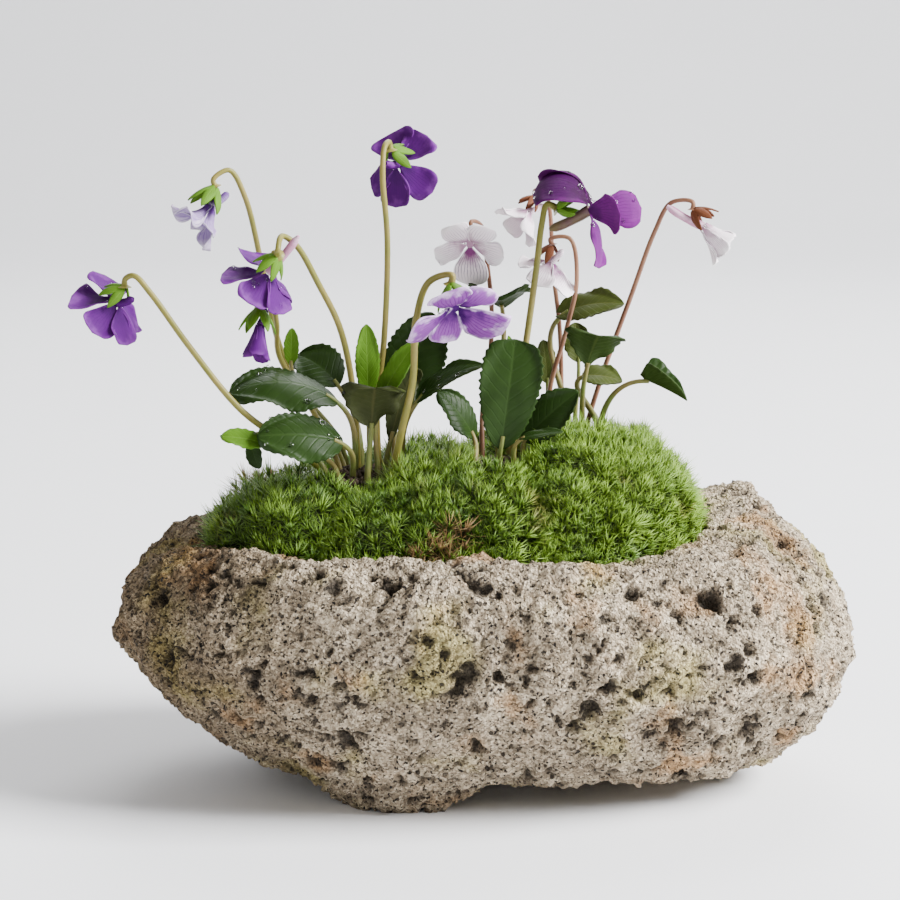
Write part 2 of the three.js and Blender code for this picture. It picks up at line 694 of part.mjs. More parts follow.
function leaf(spec) {
  const { crown, foot, width, up, fold, arch, lobe, wave, rise, close, ...rest } = { ...LEAF, ...spec };
  const base = vec(...rest.base);
  const tip = vec(...rest.tip);
  const length = base.distanceTo(tip);
  const forward = tip.clone().sub(base).normalize();
  const side = vec(...up).cross(forward).normalize();
  const face = forward.clone().cross(side);
  const stalkRadius = LEAF_STALK[width > LARGE_LEAF ? 1 : 0];
  const teeth = Math.round(length / 2.6);
  const place = (u, v) => {
    const half = Math.max((width / 2) * swell(u, rise, close), u < 0.5 ? stalkRadius * 0.9 : 0);
    const lift = arch * 4 * u * (1 - u) + fold * Math.abs(v) * half;
    const ripple = wave * v * v * Math.sin(Math.PI * (2.6 * u * v + u)) * Math.min(1, half / 2);
    const back = lobe * v * v * (1 - u) ** 3;
    return base
      .clone()
      .addScaledVector(forward, length * u - back)
      .addScaledVector(side, v * half)
      .addScaledVector(face, lift + ripple);
  };
  const rows = clamp(Math.round(length / 2.5), 4, 9);
  const toothed = (u, v) => {
    const tooth = 1 - 0.07 * Math.abs(v) * (Math.round(u * 2 * teeth) % 2);
    return place(u, v * tooth);
  };
  const start = footOf(crown, foot);
  const reach = start.distanceTo(base);
  const outward = forward.clone().lerp(vec(0, 0, 1), 0.3).normalize();
  const path = new THREE.CubicBezierCurve3(
    start,
    start.clone().add(vec(0, 0, 0.45 * reach)),
    base.clone().addScaledVector(outward, -0.35 * reach),
    base.clone().addScaledVector(forward, 0.12 * length).addScaledVector(face, arch * 0.4),
  );
  const points = [start.clone().setZ(start.z - ROOT_DEPTH), ...path.getPoints(5)];
  const stalk = stem(points, stalkRadius, clamp(Math.round(reach / 5), 4, 6));
  return blade(toothed, rowsTowardsTip(rows, 1.25), width > 6.5 ? 4 : 2).add(stalk);
}

// The flowers

// Lengths in millimetres, of a flower whose scale is 1. The calyx sits behind the throat and above the spur.
const FLOWER = {
  petal: 10.5,
  root: 1.2, // radius of the ring that the petals spring from
  claw: 0.5, // half the width of a petal's root
  crowding: 0.52, // half the width that a petal may take, against its distance from the flower's axis
  spurRing: [0, -2.1, -4.2],
  spurSize: 0.66, // of the spur's blunt end against the throat
  spurTip: [0, -2.6, -5.2],
  throatRise: 0.1, // of the middle of the throat over the petals' roots
  calyx: [0, 1.3, -4.8],
  calyxRoot: 0.85,
  calyxFront: 0.4, // how far the green cup reaches before and behind its own middle
  calyxBack: 1.2,
  sepalLength: 6.6,
  sepalWidth: 2.5,
  sepalClaw: 0.45, // half the width of a sepal's root against the cup's radius
  sepalTurns: [-152, -28, 30, 90, 150],
  hook: [0, 2.7, -6.3],
};

// The five petals of a flower, from the one at its right over the top: the turn of each from the line
// through the middle of the flower, its angle from the flower's axis at its root and at its tip, and its
// length and its width against the flower's petal length
const PETALS = {
  violet_1: [
    [-28, 40, 68, 0.95, 0.9],
    [60, 32, 66, 1.1, 1.3],
    [118, 62, 90, 1.05, 1.15],
    [208, 48, 76, 0.95, 0.85],
    [270, 46, 80, 1, 0.9],
  ],
  violet_2: [
    [-18, 12, 58, 0.8, 0.5],
    [56, 12, 118, 0.95, 0.6],
    [120, 12, 112, 1, 0.55],
    [198, 12, 60, 0.8, 0.5],
    [272, 10, 34, 1.1, 0.5],
  ],
  violet_3: [
    [-28, 42, 68, 0.95, 0.9],
    [60, 34, 64, 1.1, 1.3],
    [119, 62, 88, 1.05, 1.15],
    [207, 46, 74, 0.95, 0.85],
    [269, 48, 72, 1, 0.9],
  ],
  violet_4: [
    [-14, 10, 22, 1, 0.5],
    [58, 9, 30, 0.9, 0.5],
    [122, 9, 25, 1, 0.5],
    [194, 10, 32, 0.9, 0.5],
    [270, 9, 28, 1.05, 0.5],
  ],
  violet_5: [
    [-30, 48, 72, 0.95, 0.8],
    [61, 66, 92, 0.95, 1.15],
    [119, 66, 92, 0.9, 1.1],
    [209, 48, 72, 1, 0.8],
    [270, 50, 70, 0.95, 0.8],
  ],
  violet_6: [
    [-20, 48, 84, 1.2, 1.1],
    [54, 56, 124, 0.85, 0.95],
    [122, 56, 120, 0.85, 0.95],
    [194, 44, 80, 1.15, 0.95],
    [268, 48, 70, 0.8, 0.8],
  ],
  violet_7: [
    [-14, 30, 46, 1.1, 0.8],
    [58, 84, 220, 1.44, 1.15],
    [122, 84, 224, 1.44, 1.15],
    [194, 32, 44, 1, 0.85],
    [268, 72, 110, 1.1, 0.85],
  ],
  pale_violet_1: [
    [-14, 54, 84, 0.95, 0.85],
    [57, 56, 112, 0.9, 0.9],
    [123, 56, 112, 0.9, 0.9],
    [194, 54, 84, 0.95, 0.85],
    [270, 50, 76, 1.2, 1],
  ],
  pale_violet_2: [
    [-15, 26, 50, 0.9, 0.7],
    [58, 30, 66, 0.95, 0.8],
    [122, 30, 66, 0.95, 0.8],
    [196, 26, 48, 0.9, 0.7],
    [270, 30, 48, 1, 0.75],
  ],
  pale_violet_3: [
    [-22, 44, 70, 1, 0.85],
    [52, 52, 80, 0.85, 0.85],
    [116, 52, 80, 0.85, 0.85],
    [184, 40, 62, 1, 0.8],
    [272, 44, 56, 1.1, 0.85],
  ],
  pale_violet_4: [
    [-14, 10, 24, 0.9, 0.5],
    [58, 11, 32, 0.8, 0.55],
    [122, 11, 28, 0.8, 0.55],
    [194, 10, 26, 0.9, 0.5],
    [270, 14, 40, 0.95, 0.6],
  ],
};

// How far the petals roll at their edges and how far they go up and down there
const PETAL_CUP = 0.1;
const PETAL_RIPPLE = 0.5;

// The sepals hug the petals: from and to are their angles from the flower's axis at their root and at their
// tip
const SEPAL_FORM = { from: 50, to: 14, cup: 0.15, ripple: 0, rise: 0.5, close: 0.8 };

// throat is the middle of the flower, facing the way it looks, and path the stalk from near the soil to its
// hook
const FLOWERS = {
  violet_1: {
    throat: [-84.6, -6.4, 112.6], facing: [-0.62, 0.42, -0.66], scale: 0.88, colour: "violet",
    crown: "left", foot: [-9, -0.4], radius: 0.78,
    path: [[-47, -7, 80.5], [-56.5, -12, 89], [-67.9, -11, 103.2], [-76.6, -9.6, 115.2], [-80.2, -9, 119]],
  },
  violet_2: {
    throat: [-63.8, 5, 133.8], facing: [-0.45, -0.2, -0.87], scale: 0.88, colour: "withered", ripple: 1.1,
    crown: "left", foot: [-4.8, 5.4], radius: 0.72, calyx: 1.2,
    path: [[-40, 12, 84], [-48.4, 14, 98.5], [-52.5, 11, 118.4], [-56.2, 8, 135.6], [-59.6, 6.6, 141.8]],
  },
  violet_3: {
    throat: [-49.8, -8, 119.6], facing: [-0.52, 0.35, -0.77], scale: 0.88, colour: "violet",
    spur: 2.4, roll: -90,
    crown: "left", foot: [-1.6, 2.2], radius: 0.78, neck: 1.3,
    path: [[-31.2, 2.5, 91], [-34, 1, 105.6], [-38.8, -2.6, 116.5], [-43.4, -6, 125.4], [-46.6, -8.4, 128]],
  },
  violet_4: {
    throat: [-52.2, -4, 107.1], facing: [-0.1, -0.25, -0.95], scale: 0.8, colour: "violet", ripple: 0.1,
    crown: "left", foot: [-5.6, 1.4], radius: 0.7, calyx: 1.3,
    path: [[-40, 6.5, 84], [-48.4, 5.5, 98.5], [-48.6, -0.6, 107.6], [-49.7, -2.6, 113.2]],
  },
  violet_5: {
    throat: [-20.8, 8, 143.2], facing: [0.4, 0.75, -0.5], scale: 0.92, colour: "violet",
    crown: "left", foot: [3.2, 3.4], radius: 0.78,
    path: [[-25.6, 3.5, 88.5], [-23.9, 2, 102.9], [-23, 0.4, 126.2], [-24, -0.8, 141], [-23.6, 1.4, 147.4]],
  },
  violet_6: {
    throat: [-7.6, -22, 113.4], facing: [0.24, -0.5, -0.83], scale: 1.04, colour: "lilac",
    crown: "left", foot: [6.4, -7], radius: 0.88,
    path: [[-19.5, -12, 84.5], [-17, -14.2, 96], [-16.2, -15.6, 110], [-13.4, -17, 118.4]],
  },
  violet_7: {
    throat: [23, -6, 133.8], facing: [0.93, -0.3, 0.2], scale: 1.08, colour: "violet", neck: 1.4, spur: 1.8,
    crown: "middle", foot: [3.5, 3.4], radius: 0.85, calyx: 0.8,
    path: [[6.6, -2, 88], [9, -2.4, 103.5], [11.2, -3.6, 120.5], [12.4, -3.4, 130.6]],
  },
  pale_violet_1: {
    throat: [-4, 4, 125], facing: [-0.08, -0.72, -0.66], scale: 0.78, colour: "pink",
    crown: "middle", foot: [-3.6, 6.2], radius: 0.6, calyx: 0.75,
    path: [[-1, 4, 86], [0.8, 11, 97], [1.2, 13, 109], [0.2, 12, 119], [-1.2, 10.6, 128.4]],
  },
  pale_violet_2: {
    throat: [9.8, 14, 131.6], facing: [-0.6, -0.3, -0.74], scale: 0.74, colour: "pink",
    crown: "right", foot: [-1.4, 3.2], radius: 0.6, calyx: 0.8,
    path: [[18, 16.5, 88], [17.4, 17, 104], [15.7, 16, 118], [14.8, 14.6, 132], [13.6, 14.8, 136.6]],
  },
  pale_violet_3: {
    throat: [14.8, 7, 120.6], facing: [-0.3, 0.22, -0.93], scale: 0.76, colour: "pink",
    crown: "right", foot: [-5, -1], radius: 0.6, calyx: 0.9,
    path: [[15, 11, 90], [18.8, 8.6, 105], [20.9, 6.3, 116.6], [19.2, 6.4, 126]],
  },
  pale_violet_4: {
    throat: [50.4, 9.6, 128.6], facing: [0.72, -0.12, -0.66], scale: 0.9, colour: "pink", spur: 2,
    crown: "right", foot: [4, 1], radius: 0.62, calyx: 0.95,
    path: [[27.2, 14, 92], [34.2, 13.5, 112.2], [39.4, 13, 127], [43, 12, 133.8]],
  },
};

// The surface of one petal in the flower's own frame, whose z axis is the way the flower faces and whose y
// axis is up: it leaves a ring of radius root at the angle from, and has bent to the angle to at its tip
function petalSurface({ turn, from, to, length, width, root, claw, cup, ripple, rise = 0.85, close = 0.42 }) {
  const out = vec(Math.cos(degToRad(turn)), Math.sin(degToRad(turn)), 0);
  const side = vec(-out.y, out.x, 0);
  const [start, bend] = [degToRad(from), degToRad(to - from)];
  return (u, v) => {
    const angle = start + bend * u;
    const middle = root - (length / bend) * (Math.cos(angle) - Math.cos(start));
    const room = u < 1 ? FLOWER.crowding * middle : 0;
    const half = Math.min(Math.max((width / 2) * swell(u, rise, close), u < 0.6 ? claw : 0), room);
    const wave = ripple * v * v * Math.sin(Math.PI * (1.7 * u + 0.8 * v)) * u;
    const back = (wave - cup * half * v * v) * clamp(half, 0, 1);
    return out
      .clone()
      .multiplyScalar(middle + back * Math.cos(angle))
      .addScaledVector(side, v * half)
      .setZ((length / bend) * (Math.sin(angle) - Math.sin(start)) - back * Math.sin(angle));
  };
}

// A point behind the throat, turned by roll about the flower's axis and drawn out along it by stretch
function behindThroat(point, scale, roll, stretch) {
  return vec(...point)
    .applyAxisAngle(vec(0, 0, 1), degToRad(roll))
    .multiply(vec(1, 1, stretch))
    .multiplyScalar(scale);
}

function flowerPetals({ petals, scale, ripple = PETAL_RIPPLE, spur = 1, roll = 0 }) {
  const size = scale * FLOWER.petal;
  const [root, claw] = [scale * FLOWER.root, scale * FLOWER.claw];
  const surfaces = petals.map(([turn, from, to, length, width]) =>
    petalSurface({
      turn, from, to, length: length * size, width: width * size, root, claw, cup: PETAL_CUP, ripple,
    }),
  );
  const tail = [{ middle: behindThroat(FLOWER.spurRing, scale, roll, spur), size: FLOWER.spurSize }];
  const spurTip = behindThroat(FLOWER.spurTip, scale, roll, spur);
  return lobedSkin(surfaces, rowsTowardsTip(4, 1.4), vec(0, 0, FLOWER.throatRise), tail, spurTip);
}

// The green cup behind the petals, with its five sepals
function calyxOf(scale, growth, roll) {
  const length = scale * growth * FLOWER.sepalLength;
  const width = scale * growth * FLOWER.sepalWidth;
  const root = scale * FLOWER.calyxRoot;
  const claw = root * FLOWER.sepalClaw;
  const surfaces = FLOWER.sepalTurns.map((sepalTurn) =>
    petalSurface({ ...SEPAL_FORM, turn: sepalTurn + roll, length, width, root, claw }),
  );
  const back = vec(0, 0, -FLOWER.calyxBack * scale);
  return lobedSkin(surfaces, rowsTowardsTip(2, 1), vec(0, 0, FLOWER.calyxFront), [], back);
}

// The flower's own frame in the planter
function flowerPlace({ throat, facing }) {
  const forward = vec(...facing).normalize();
  const right = vec(0, 0, 1).cross(forward).normalize();
  const up = forward.clone().cross(right);
  return new THREE.Matrix4().makeBasis(right, up, forward).setPosition(...throat);
}

function flowerStalk(flower) {
  const { scale, crown, foot, radius, path, calyx = 1, roll = 0, neck = 1 } = flower;
  const place = flowerPlace(flower);
  const middle = behindThroat(FLOWER.calyx, scale, roll, neck);
  const cup = calyxOf(scale, calyx, roll).translate(middle.toArray()).transform(place.toArray());
  const start = footOf(crown, foot);
  const hook = behindThroat(FLOWER.hook, scale, roll, neck).applyMatrix4(place);
  const points = [
    start.clone().setZ(start.z - ROOT_DEPTH),
    start,
    ...path.map((point) => vec(...point)),
    hook,
    middle.clone().applyMatrix4(place),
  ];
  return stem(points, radius, Math.round(start.distanceTo(hook) / STALK_STEP)).add(cup);
}

// Setting out

const planter = new THREE.Group();

function addMesh(name, solid, colour, parent = planter) {
  const mesh = new THREE.Mesh(geometryOf(solid), material(COLOURS[colour]));
  mesh.name = name;
  parent.add(mesh);
  return mesh;
}

// The holes that the stems stand in
function stemHoles() {
  const stems = [
    ...Object.values(LEAVES).map(({ crown, foot }) => [footOf(crown, foot), LEAF_STALK[1]]),
    ...Object.values(FLOWERS).map(({ crown, foot, radius }) => [footOf(crown, foot), radius]),
  ];
  return stems
    .map(([foot, radius]) => {
      const size = radius + HOLE_CLEARANCE;
      return post(size, foot.z - ROOT_DEPTH - GAP, foot.z + 4, foot.x, foot.y, 4);
    })
    .reduce((all, hole) => all.add(hole));
}

function meshSeat() {
  const side = (MESH.bars - 1) * MESH.pitch + MESH.bar + 2 * GAP;
  return box(side, side, 2 * (MESH.thickness + 2 * GAP), HOLLOW.middle, 0, HOLLOW.floor);
}

addMesh("stone_pot", stonePot(), "stone");
addMesh("drain_mesh", drainMesh(), "net");
addMesh("soil", soilMound(0).subtract(stemHoles()).subtract(meshSeat()), "soil");

seededRandom(7);
const clear = spaceUnderMoss();
for (const [name, site] of Object.entries(CUSHIONS)) addMesh(name, mossCushion(site, clear), "moss");

for (const [name, spec] of Object.entries(LEAVES)) addMesh(name, leaf(spec), spec.colour);

for (const [name, flower] of Object.entries(FLOWERS)) {
  const bloom = new THREE.Group();
  bloom.applyMatrix4(flowerPlace(flower));
  planter.add(bloom);
  addMesh(`${name}_petals`, flowerPetals({ ...flower, petals: PETALS[name] }), flower.colour, bloom);
  const stalkColour = flower.colour === "pink" ? "paleStalk" : "purpleStalk";
  addMesh(`${name}_stalk`, flowerStalk(flower), stalkColour);
}

// The origin goes to the middle of the base
const bounds = new THREE.Box3().setFromObject(planter, true);
const middle = bounds.getCenter(vec(0, 0, 0));
planter.position.set(-middle.x, -middle.y, -bounds.min.z);

const part = new THREE.Group();
part.add(planter);

export default part;
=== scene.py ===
"""A potted viola planter: violets and moss in a bowl of rough volcanic stone, dressed over its solid model.

Lengths in the tables are millimetres, from a point under the middle of the rock, with the front at -Y.
"""

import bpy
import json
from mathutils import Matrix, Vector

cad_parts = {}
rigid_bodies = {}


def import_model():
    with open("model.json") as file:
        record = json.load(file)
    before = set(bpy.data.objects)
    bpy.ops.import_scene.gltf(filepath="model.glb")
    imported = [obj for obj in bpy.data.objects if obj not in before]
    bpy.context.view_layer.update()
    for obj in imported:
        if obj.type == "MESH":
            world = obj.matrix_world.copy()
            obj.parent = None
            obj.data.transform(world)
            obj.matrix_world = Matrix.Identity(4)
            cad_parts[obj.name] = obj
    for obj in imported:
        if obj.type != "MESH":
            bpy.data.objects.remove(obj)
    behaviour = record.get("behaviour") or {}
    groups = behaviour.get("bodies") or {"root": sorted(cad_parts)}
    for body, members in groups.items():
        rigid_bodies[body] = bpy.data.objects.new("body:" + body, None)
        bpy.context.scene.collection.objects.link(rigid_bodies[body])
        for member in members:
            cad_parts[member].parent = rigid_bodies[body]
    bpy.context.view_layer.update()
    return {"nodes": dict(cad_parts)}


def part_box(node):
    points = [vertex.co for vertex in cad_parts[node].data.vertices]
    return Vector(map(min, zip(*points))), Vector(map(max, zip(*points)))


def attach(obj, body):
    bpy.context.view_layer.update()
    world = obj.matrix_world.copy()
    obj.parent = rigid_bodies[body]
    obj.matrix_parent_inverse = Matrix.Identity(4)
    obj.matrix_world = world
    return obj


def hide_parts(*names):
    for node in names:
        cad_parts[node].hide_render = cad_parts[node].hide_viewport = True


bl_info = {
    "name": "Potted Viola Planter",
    "version": (1, 0, 0),
    "blender": (4, 5, 0),
    "location": "View3D > Sidebar > Planter",
    "description": "Violets and cushions of moss in a bowl of rough volcanic stone",
    "category": "Object",
}

import itertools
import json
import math

import bmesh
import bpy
import numpy as np
from bpy.props import FloatProperty, FloatVectorProperty, IntProperty, PointerProperty
from mathutils import Vector, noise

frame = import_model()

MM = 0.001
NET_LOW, NET_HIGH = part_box("drain_mesh")
NET_MIDDLE = (-7.5, 0.0)  # of the drain net, in the tables' own coordinates
SHIFT = np.array(
    [
        (NET_LOW.x + NET_HIGH.x) / 2 - NET_MIDDLE[0] * MM,
        (NET_LOW.y + NET_HIGH.y) / 2 - NET_MIDDLE[1] * MM,
        0.0,
    ]
)

# Spacing and needle length of each cushion's shoots against the usual, how far they sway together, and
# how fresh they are
CUSHIONS = {
    "moss_left": dict(spacing=1.2, needles=1.2, sway=0.5, fresh=-0.05),
    "moss_front": dict(spacing=1.08, needles=1.12, sway=0.7, fresh=0.0),
    "moss_right": dict(spacing=0.95, needles=1.05, sway=0.9, fresh=0.2),
    "moss_back_left": dict(spacing=1.1, needles=1.0, sway=0.5, fresh=-0.1),
    "moss_back_right": dict(spacing=1.1, needles=1.0, sway=0.5, fresh=0.1),
}
# Middle and radius of the patches of dry moss, and the share of needles there that are dry
DRY_SPOTS = ((-10, -36, 60, 6.5), (-52, 12, 68, 6), (-2, -24, 70, 3.5))
DRY_SHARE = 0.75
TRIES = 5  # places tried for a shoot in each square of the spacing
MAT_DEPTH = 1.8  # of the dark matter under the cushion's surface, its colour painted shade
GOLDEN_ANGLE = 2.39996  # from one needle of a shoot to the next
SHOOT_ORIGIN = 0.045  # metres under a cushion's top, the point that its shoots turn away from
WIDEST = 0.45  # where a needle is widest, against its length
NEEDLE_FACES = np.array([[0, 2, 1], [0, 1, 3], [0, 3, 2], [4, 1, 2], [4, 3, 1], [4, 2, 3]])

CAMERA_TARGET = (-8.6, 0, 77.3)
CAMERA_ELEVATION = math.radians(10)
CAMERA_DISTANCE = 0.618  # in metres, as the lights' places and the floor are
LENS = 106.16

# Middle of each crown of plants, at the height of its soil, and its radius
CROWNS = {
    "left": (-28.5, -0.5, 72.5, 11.5),
    "middle": (2.5, -7.0, 76.0, 9.5),
    "right": (19.5, 13.0, 79.0, 9.8),
}
CROWN_FALL = 1.6  # of the soil from a crown's middle to its edge
ROOT_DEPTH = 5.0
CRUMBS_PER_AREA = 2.2
BARE_SOIL = (-42, 5, 61.5, 6.5)  # middle and radius of the soil that shows beside the left crown

# Cells of space that may hold a pit of the stone, the share that do, and the smallest and largest radius
PITS = ((7.2, 0.8, 1.3, 2.9), (4.0, 0.9, 0.8, 1.7), (2.5, 0.8, 0.45, 0.95))
GROUND = 0.6  # height under which the stone's feet stay flat

# The foot of each leaf's stalk in its crown, the leaf's base, tip, width and the way its upper face looks,
# its arch, fold and wave, how far its lobes reach back, and how its width swells and closes. LEAF holds the
# usual values, and the first word of a leaf's name is its crown.
LEAF = dict(
    up=(0, -0.4, 0.9), fold=0.15, arch=1.5, lobe=0, wave=0.5, rise=0.55, close=0.6, finish="leaf_dark",
)

# Veins and roughness of the upper side of each kind of leaf, then colour, veins and roughness of its back
LEAF_SIDES = {
    "dark": ((0.035, 0.068, 0.016), 0.26, (0.022, 0.04, 0.008), (0.06, 0.08, 0.02), 0.42),
    "bright": ((0.17, 0.32, 0.05), 0.4, (0.09, 0.19, 0.025), (0.17, 0.29, 0.06), 0.42),
    "olive": ((0.12, 0.13, 0.04), 0.36, (0.035, 0.042, 0.014), (0.09, 0.08, 0.03), 0.4),
}

LEAVES = {
    "left_leaf_1": dict(
        foot=(-2.2, -2.2), base=(-34.6, -2, 89), tip=(-59.4, -6, 91.5), width=19, up=(-0.05, -0.4, 0.92),
        arch=4.2, fold=-0.12, wave=0.9,
    ),
    "left_leaf_2": dict(
        foot=(-2.5, -6.8), base=(-33, -13, 81.4), tip=(-52, -20, 83.9), width=13.4, up=(0, -0.8, 0.6),
        arch=2, fold=-0.1, wave=0.7,
    ),
    "left_leaf_3": dict(
        foot=(-1, 7.2), base=(-35, 13, 90.5), tip=(-45, 18, 97), width=13, up=(0.2, -0.8, 0.7), arch=2,
        wave=0.6,
    ),
    "left_leaf_4": dict(
        foot=(-5.8, -8), base=(-50, -17, 81.5), tip=(-60.4, -18, 83.5), width=5.5, up=(0, -0.7, 0.7),
        arch=0.8, wave=0.3, finish="leaf_bright",
    ),
    "left_leaf_5": dict(
        foot=(-8.6, -4.6), base=(-54.4, -6, 80.3), tip=(-52.4, -8, 74.4), width=4.4, up=(-0.4, -0.85, 0.2),
        arch=0.6, wave=0.2,
    ),
    "left_leaf_6": dict(
        foot=(1.2, -1.2), base=(-27.6, -1.5, 90.5), tip=(-27.8, -4, 107.3), width=6, up=(0.1, -1, 0.15),
        arch=0.8, wave=0.3, finish="leaf_bright",
    ),
    "left_leaf_7": dict(
        foot=(3.2, -4.8), base=(-24.8, -6, 89.8), tip=(-15.9, -7.5, 104), width=6, up=(-0.4, -0.8, 0.4),
        arch=1, wave=0.3, finish="leaf_bright",
    ),
    "left_leaf_8": dict(
        foot=(1, -9), base=(-26.6, -9.6, 84), tip=(-25.6, -14, 94), width=15, up=(-0.1, 0.95, 0.3), arch=1,
        wave=1.5, rise=0.8, close=0.22, finish="leaf_olive",
    ),
    "left_leaf_9": dict(
        foot=(7, 2.5), base=(-20.8, 6, 87.5), tip=(-12.8, 9, 108.4), width=15, up=(0.1, -0.95, 0.3),
        arch=1.5, wave=0.6,
    ),
    "left_leaf_10": dict(
        foot=(8.8, -2.4), base=(-16.2, -5, 89.4), tip=(-0.8, -9.5, 98.6), width=8.5, up=(-0.2, -0.4, 0.9),
        arch=2, wave=0.4,
    ),
    "left_leaf_11": dict(
        foot=(5, -1.4), base=(-22.4, -3, 80), tip=(-16.8, -4, 97.5), width=8, up=(-0.3, 0.8, 0.5), arch=1,
        wave=0.7, rise=0.7, close=0.4, finish="leaf_olive",
    ),
    "left_leaf_12": dict(
        foot=(-4.6, 8.6), base=(-46, 9.6, 96), tip=(-45.6, 8.6, 104.8), width=3.8, up=(0, -1, 0.1),
        arch=0.4, wave=0.1, finish="leaf_bright",
    ),
    "middle_leaf_1": dict(
        foot=(-0.5, -5.6), base=(3, -14, 80), tip=(6.2, -13, 105), width=14.8, up=(0.05, -1, 0.08), arch=1,
        fold=0.12, wave=0.4, rise=0.55, close=0.27,
    ),
    "middle_leaf_2": dict(
        foot=(6.2, -3.2), base=(8.2, -9, 81), tip=(20.6, -11, 92.8), width=10, up=(-0.3, -0.85, 0.45),
        arch=1, wave=0.5,
    ),
    "middle_leaf_3": dict(
        foot=(-5.4, -1), base=(-3, -4, 81), tip=(-11.5, -6, 92), width=9, up=(0.5, -0.7, 0.5), arch=1,
        wave=0.4,
    ),
    "middle_leaf_4": dict(
        foot=(3.6, -6.6), base=(7.2, -17.5, 83), tip=(16.8, -20.5, 85), width=3.6, up=(-0.1, -0.4, 0.9),
        arch=0.4, wave=0.2,
    ),
    "middle_leaf_5": dict(
        foot=(0.2, 3), base=(3.6, 9, 109.4), tip=(1.6, -4, 112.8), width=15, up=(0, -0.25, 1), arch=1.5,
        fold=0.4, wave=0.6,
    ),
    "middle_leaf_6": dict(
        foot=(2.5, 7.4), base=(5.8, 0.5, 95), tip=(4.8, -3, 104.5), width=3.2, up=(0.7, -0.7, 0.1),
        arch=0.3, wave=0.1, finish="leaf_bright",
    ),
    "right_leaf_1": dict(
        foot=(0.2, -1), base=(17.8, 14.5, 107.4), tip=(32.2, 10.5, 110.2), width=9.5, up=(-0.05, -0.6, 0.8),
        arch=1.5, lobe=1.5, wave=0.6, finish="leaf_olive",
    ),
    "right_leaf_2": dict(
        foot=(3, -5.2), base=(23.2, 2.5, 96.4), tip=(25.6, -2, 104.4), width=15, up=(-0.1, 0.9, 0.4),
        arch=0.6, fold=0.2, wave=0.6, rise=0.95, close=0.13,
    ),
    "right_leaf_3": dict(
        foot=(7.6, 0.4), base=(22.4, 9, 93.4), tip=(31.8, 8, 92.2), width=8, up=(0.1, -0.5, 0.85), arch=0.8,
        wave=0.3, finish="leaf_olive",
    ),
    "right_leaf_4": dict(
        foot=(7, -4.6), base=(36.6, 4, 93.4), tip=(46.6, 2, 88.6), width=9, up=(0.25, -0.05, 0.95),
        arch=0.3, fold=1.05, lobe=1.2, wave=0.2, rise=0.12, close=0.85,
    ),
    "right_leaf_5": dict(
        foot=(1.8, 6.8), base=(22.2, 21, 95), tip=(21.4, 23, 104.2), width=7, up=(0.1, -1, 0.2), arch=0.6,
        wave=0.4, finish="leaf_olive",
    ),
    "right_leaf_6": dict(
        foot=(-4.8, 3.8), base=(14.6, 18, 90.5), tip=(13.4, 16, 101), width=5.5, up=(0.3, -0.9, 0.2),
        arch=0.5, wave=0.3, finish="leaf_olive",
    ),
}

# Each petal's turn about the flower, its angle from the flower's axis at its root and its tip, and its
# length and width against the flower's petal length
PETALS = {
    "violet_1": [
        (-28, 40, 68, 0.95, 0.9), (60, 32, 66, 1.1, 1.3), (118, 62, 90, 1.05, 1.15),
        (208, 48, 76, 0.95, 0.85), (270, 46, 80, 1, 0.9),
    ],
    "violet_2": [
        (-18, 12, 58, 0.8, 0.5), (56, 12, 118, 0.95, 0.6), (120, 12, 112, 1, 0.55), (198, 12, 60, 0.8, 0.5),
        (272, 10, 34, 1.1, 0.5),
    ],
    "violet_3": [
        (-28, 42, 68, 0.95, 0.9), (60, 34, 64, 1.1, 1.3), (119, 62, 88, 1.05, 1.15),
        (207, 46, 74, 0.95, 0.85), (269, 48, 72, 1, 0.9),
    ],
    "violet_4": [
        (-14, 10, 22, 1, 0.5), (58, 9, 30, 0.9, 0.5), (122, 9, 25, 1, 0.5), (194, 10, 32, 0.9, 0.5),
        (270, 9, 28, 1.05, 0.5),
    ],
    "violet_5": [
        (-30, 48, 72, 0.95, 0.8), (61, 66, 92, 0.95, 1.15), (119, 66, 92, 0.9, 1.1), (209, 48, 72, 1, 0.8),
        (270, 50, 70, 0.95, 0.8),
    ],
    "violet_6": [
        (-20, 48, 84, 1.2, 1.1), (54, 56, 124, 0.85, 0.95), (122, 56, 120, 0.85, 0.95),
        (194, 44, 80, 1.15, 0.95), (268, 48, 70, 0.8, 0.8),
    ],
    "violet_7": [
        (-14, 30, 46, 1.1, 0.8), (58, 84, 220, 1.44, 1.15), (122, 84, 224, 1.44, 1.15),
        (194, 32, 44, 1, 0.85), (268, 72, 110, 1.1, 0.85),
    ],
    "pale_violet_1": [
        (-14, 54, 84, 0.95, 0.85), (57, 56, 112, 0.9, 0.9), (123, 56, 112, 0.9, 0.9),
        (194, 54, 84, 0.95, 0.85), (270, 50, 76, 1.2, 1),
    ],
    "pale_violet_2": [
        (-15, 26, 50, 0.9, 0.7), (58, 30, 66, 0.95, 0.8), (122, 30, 66, 0.95, 0.8), (196, 26, 48, 0.9, 0.7),
        (270, 30, 48, 1, 0.75),
    ],
    "pale_violet_3": [
        (-22, 44, 70, 1, 0.85), (52, 52, 80, 0.85, 0.85), (116, 52, 80, 0.85, 0.85), (184, 40, 62, 1, 0.8),
        (272, 44, 56, 1.1, 0.85),
    ],
    "pale_violet_4": [
        (-14, 10, 24, 0.9, 0.5), (58, 11, 32, 0.8, 0.55), (122, 11, 28, 0.8, 0.55), (194, 10, 26, 0.9, 0.5),
        (270, 14, 40, 0.95, 0.6),
    ],
}

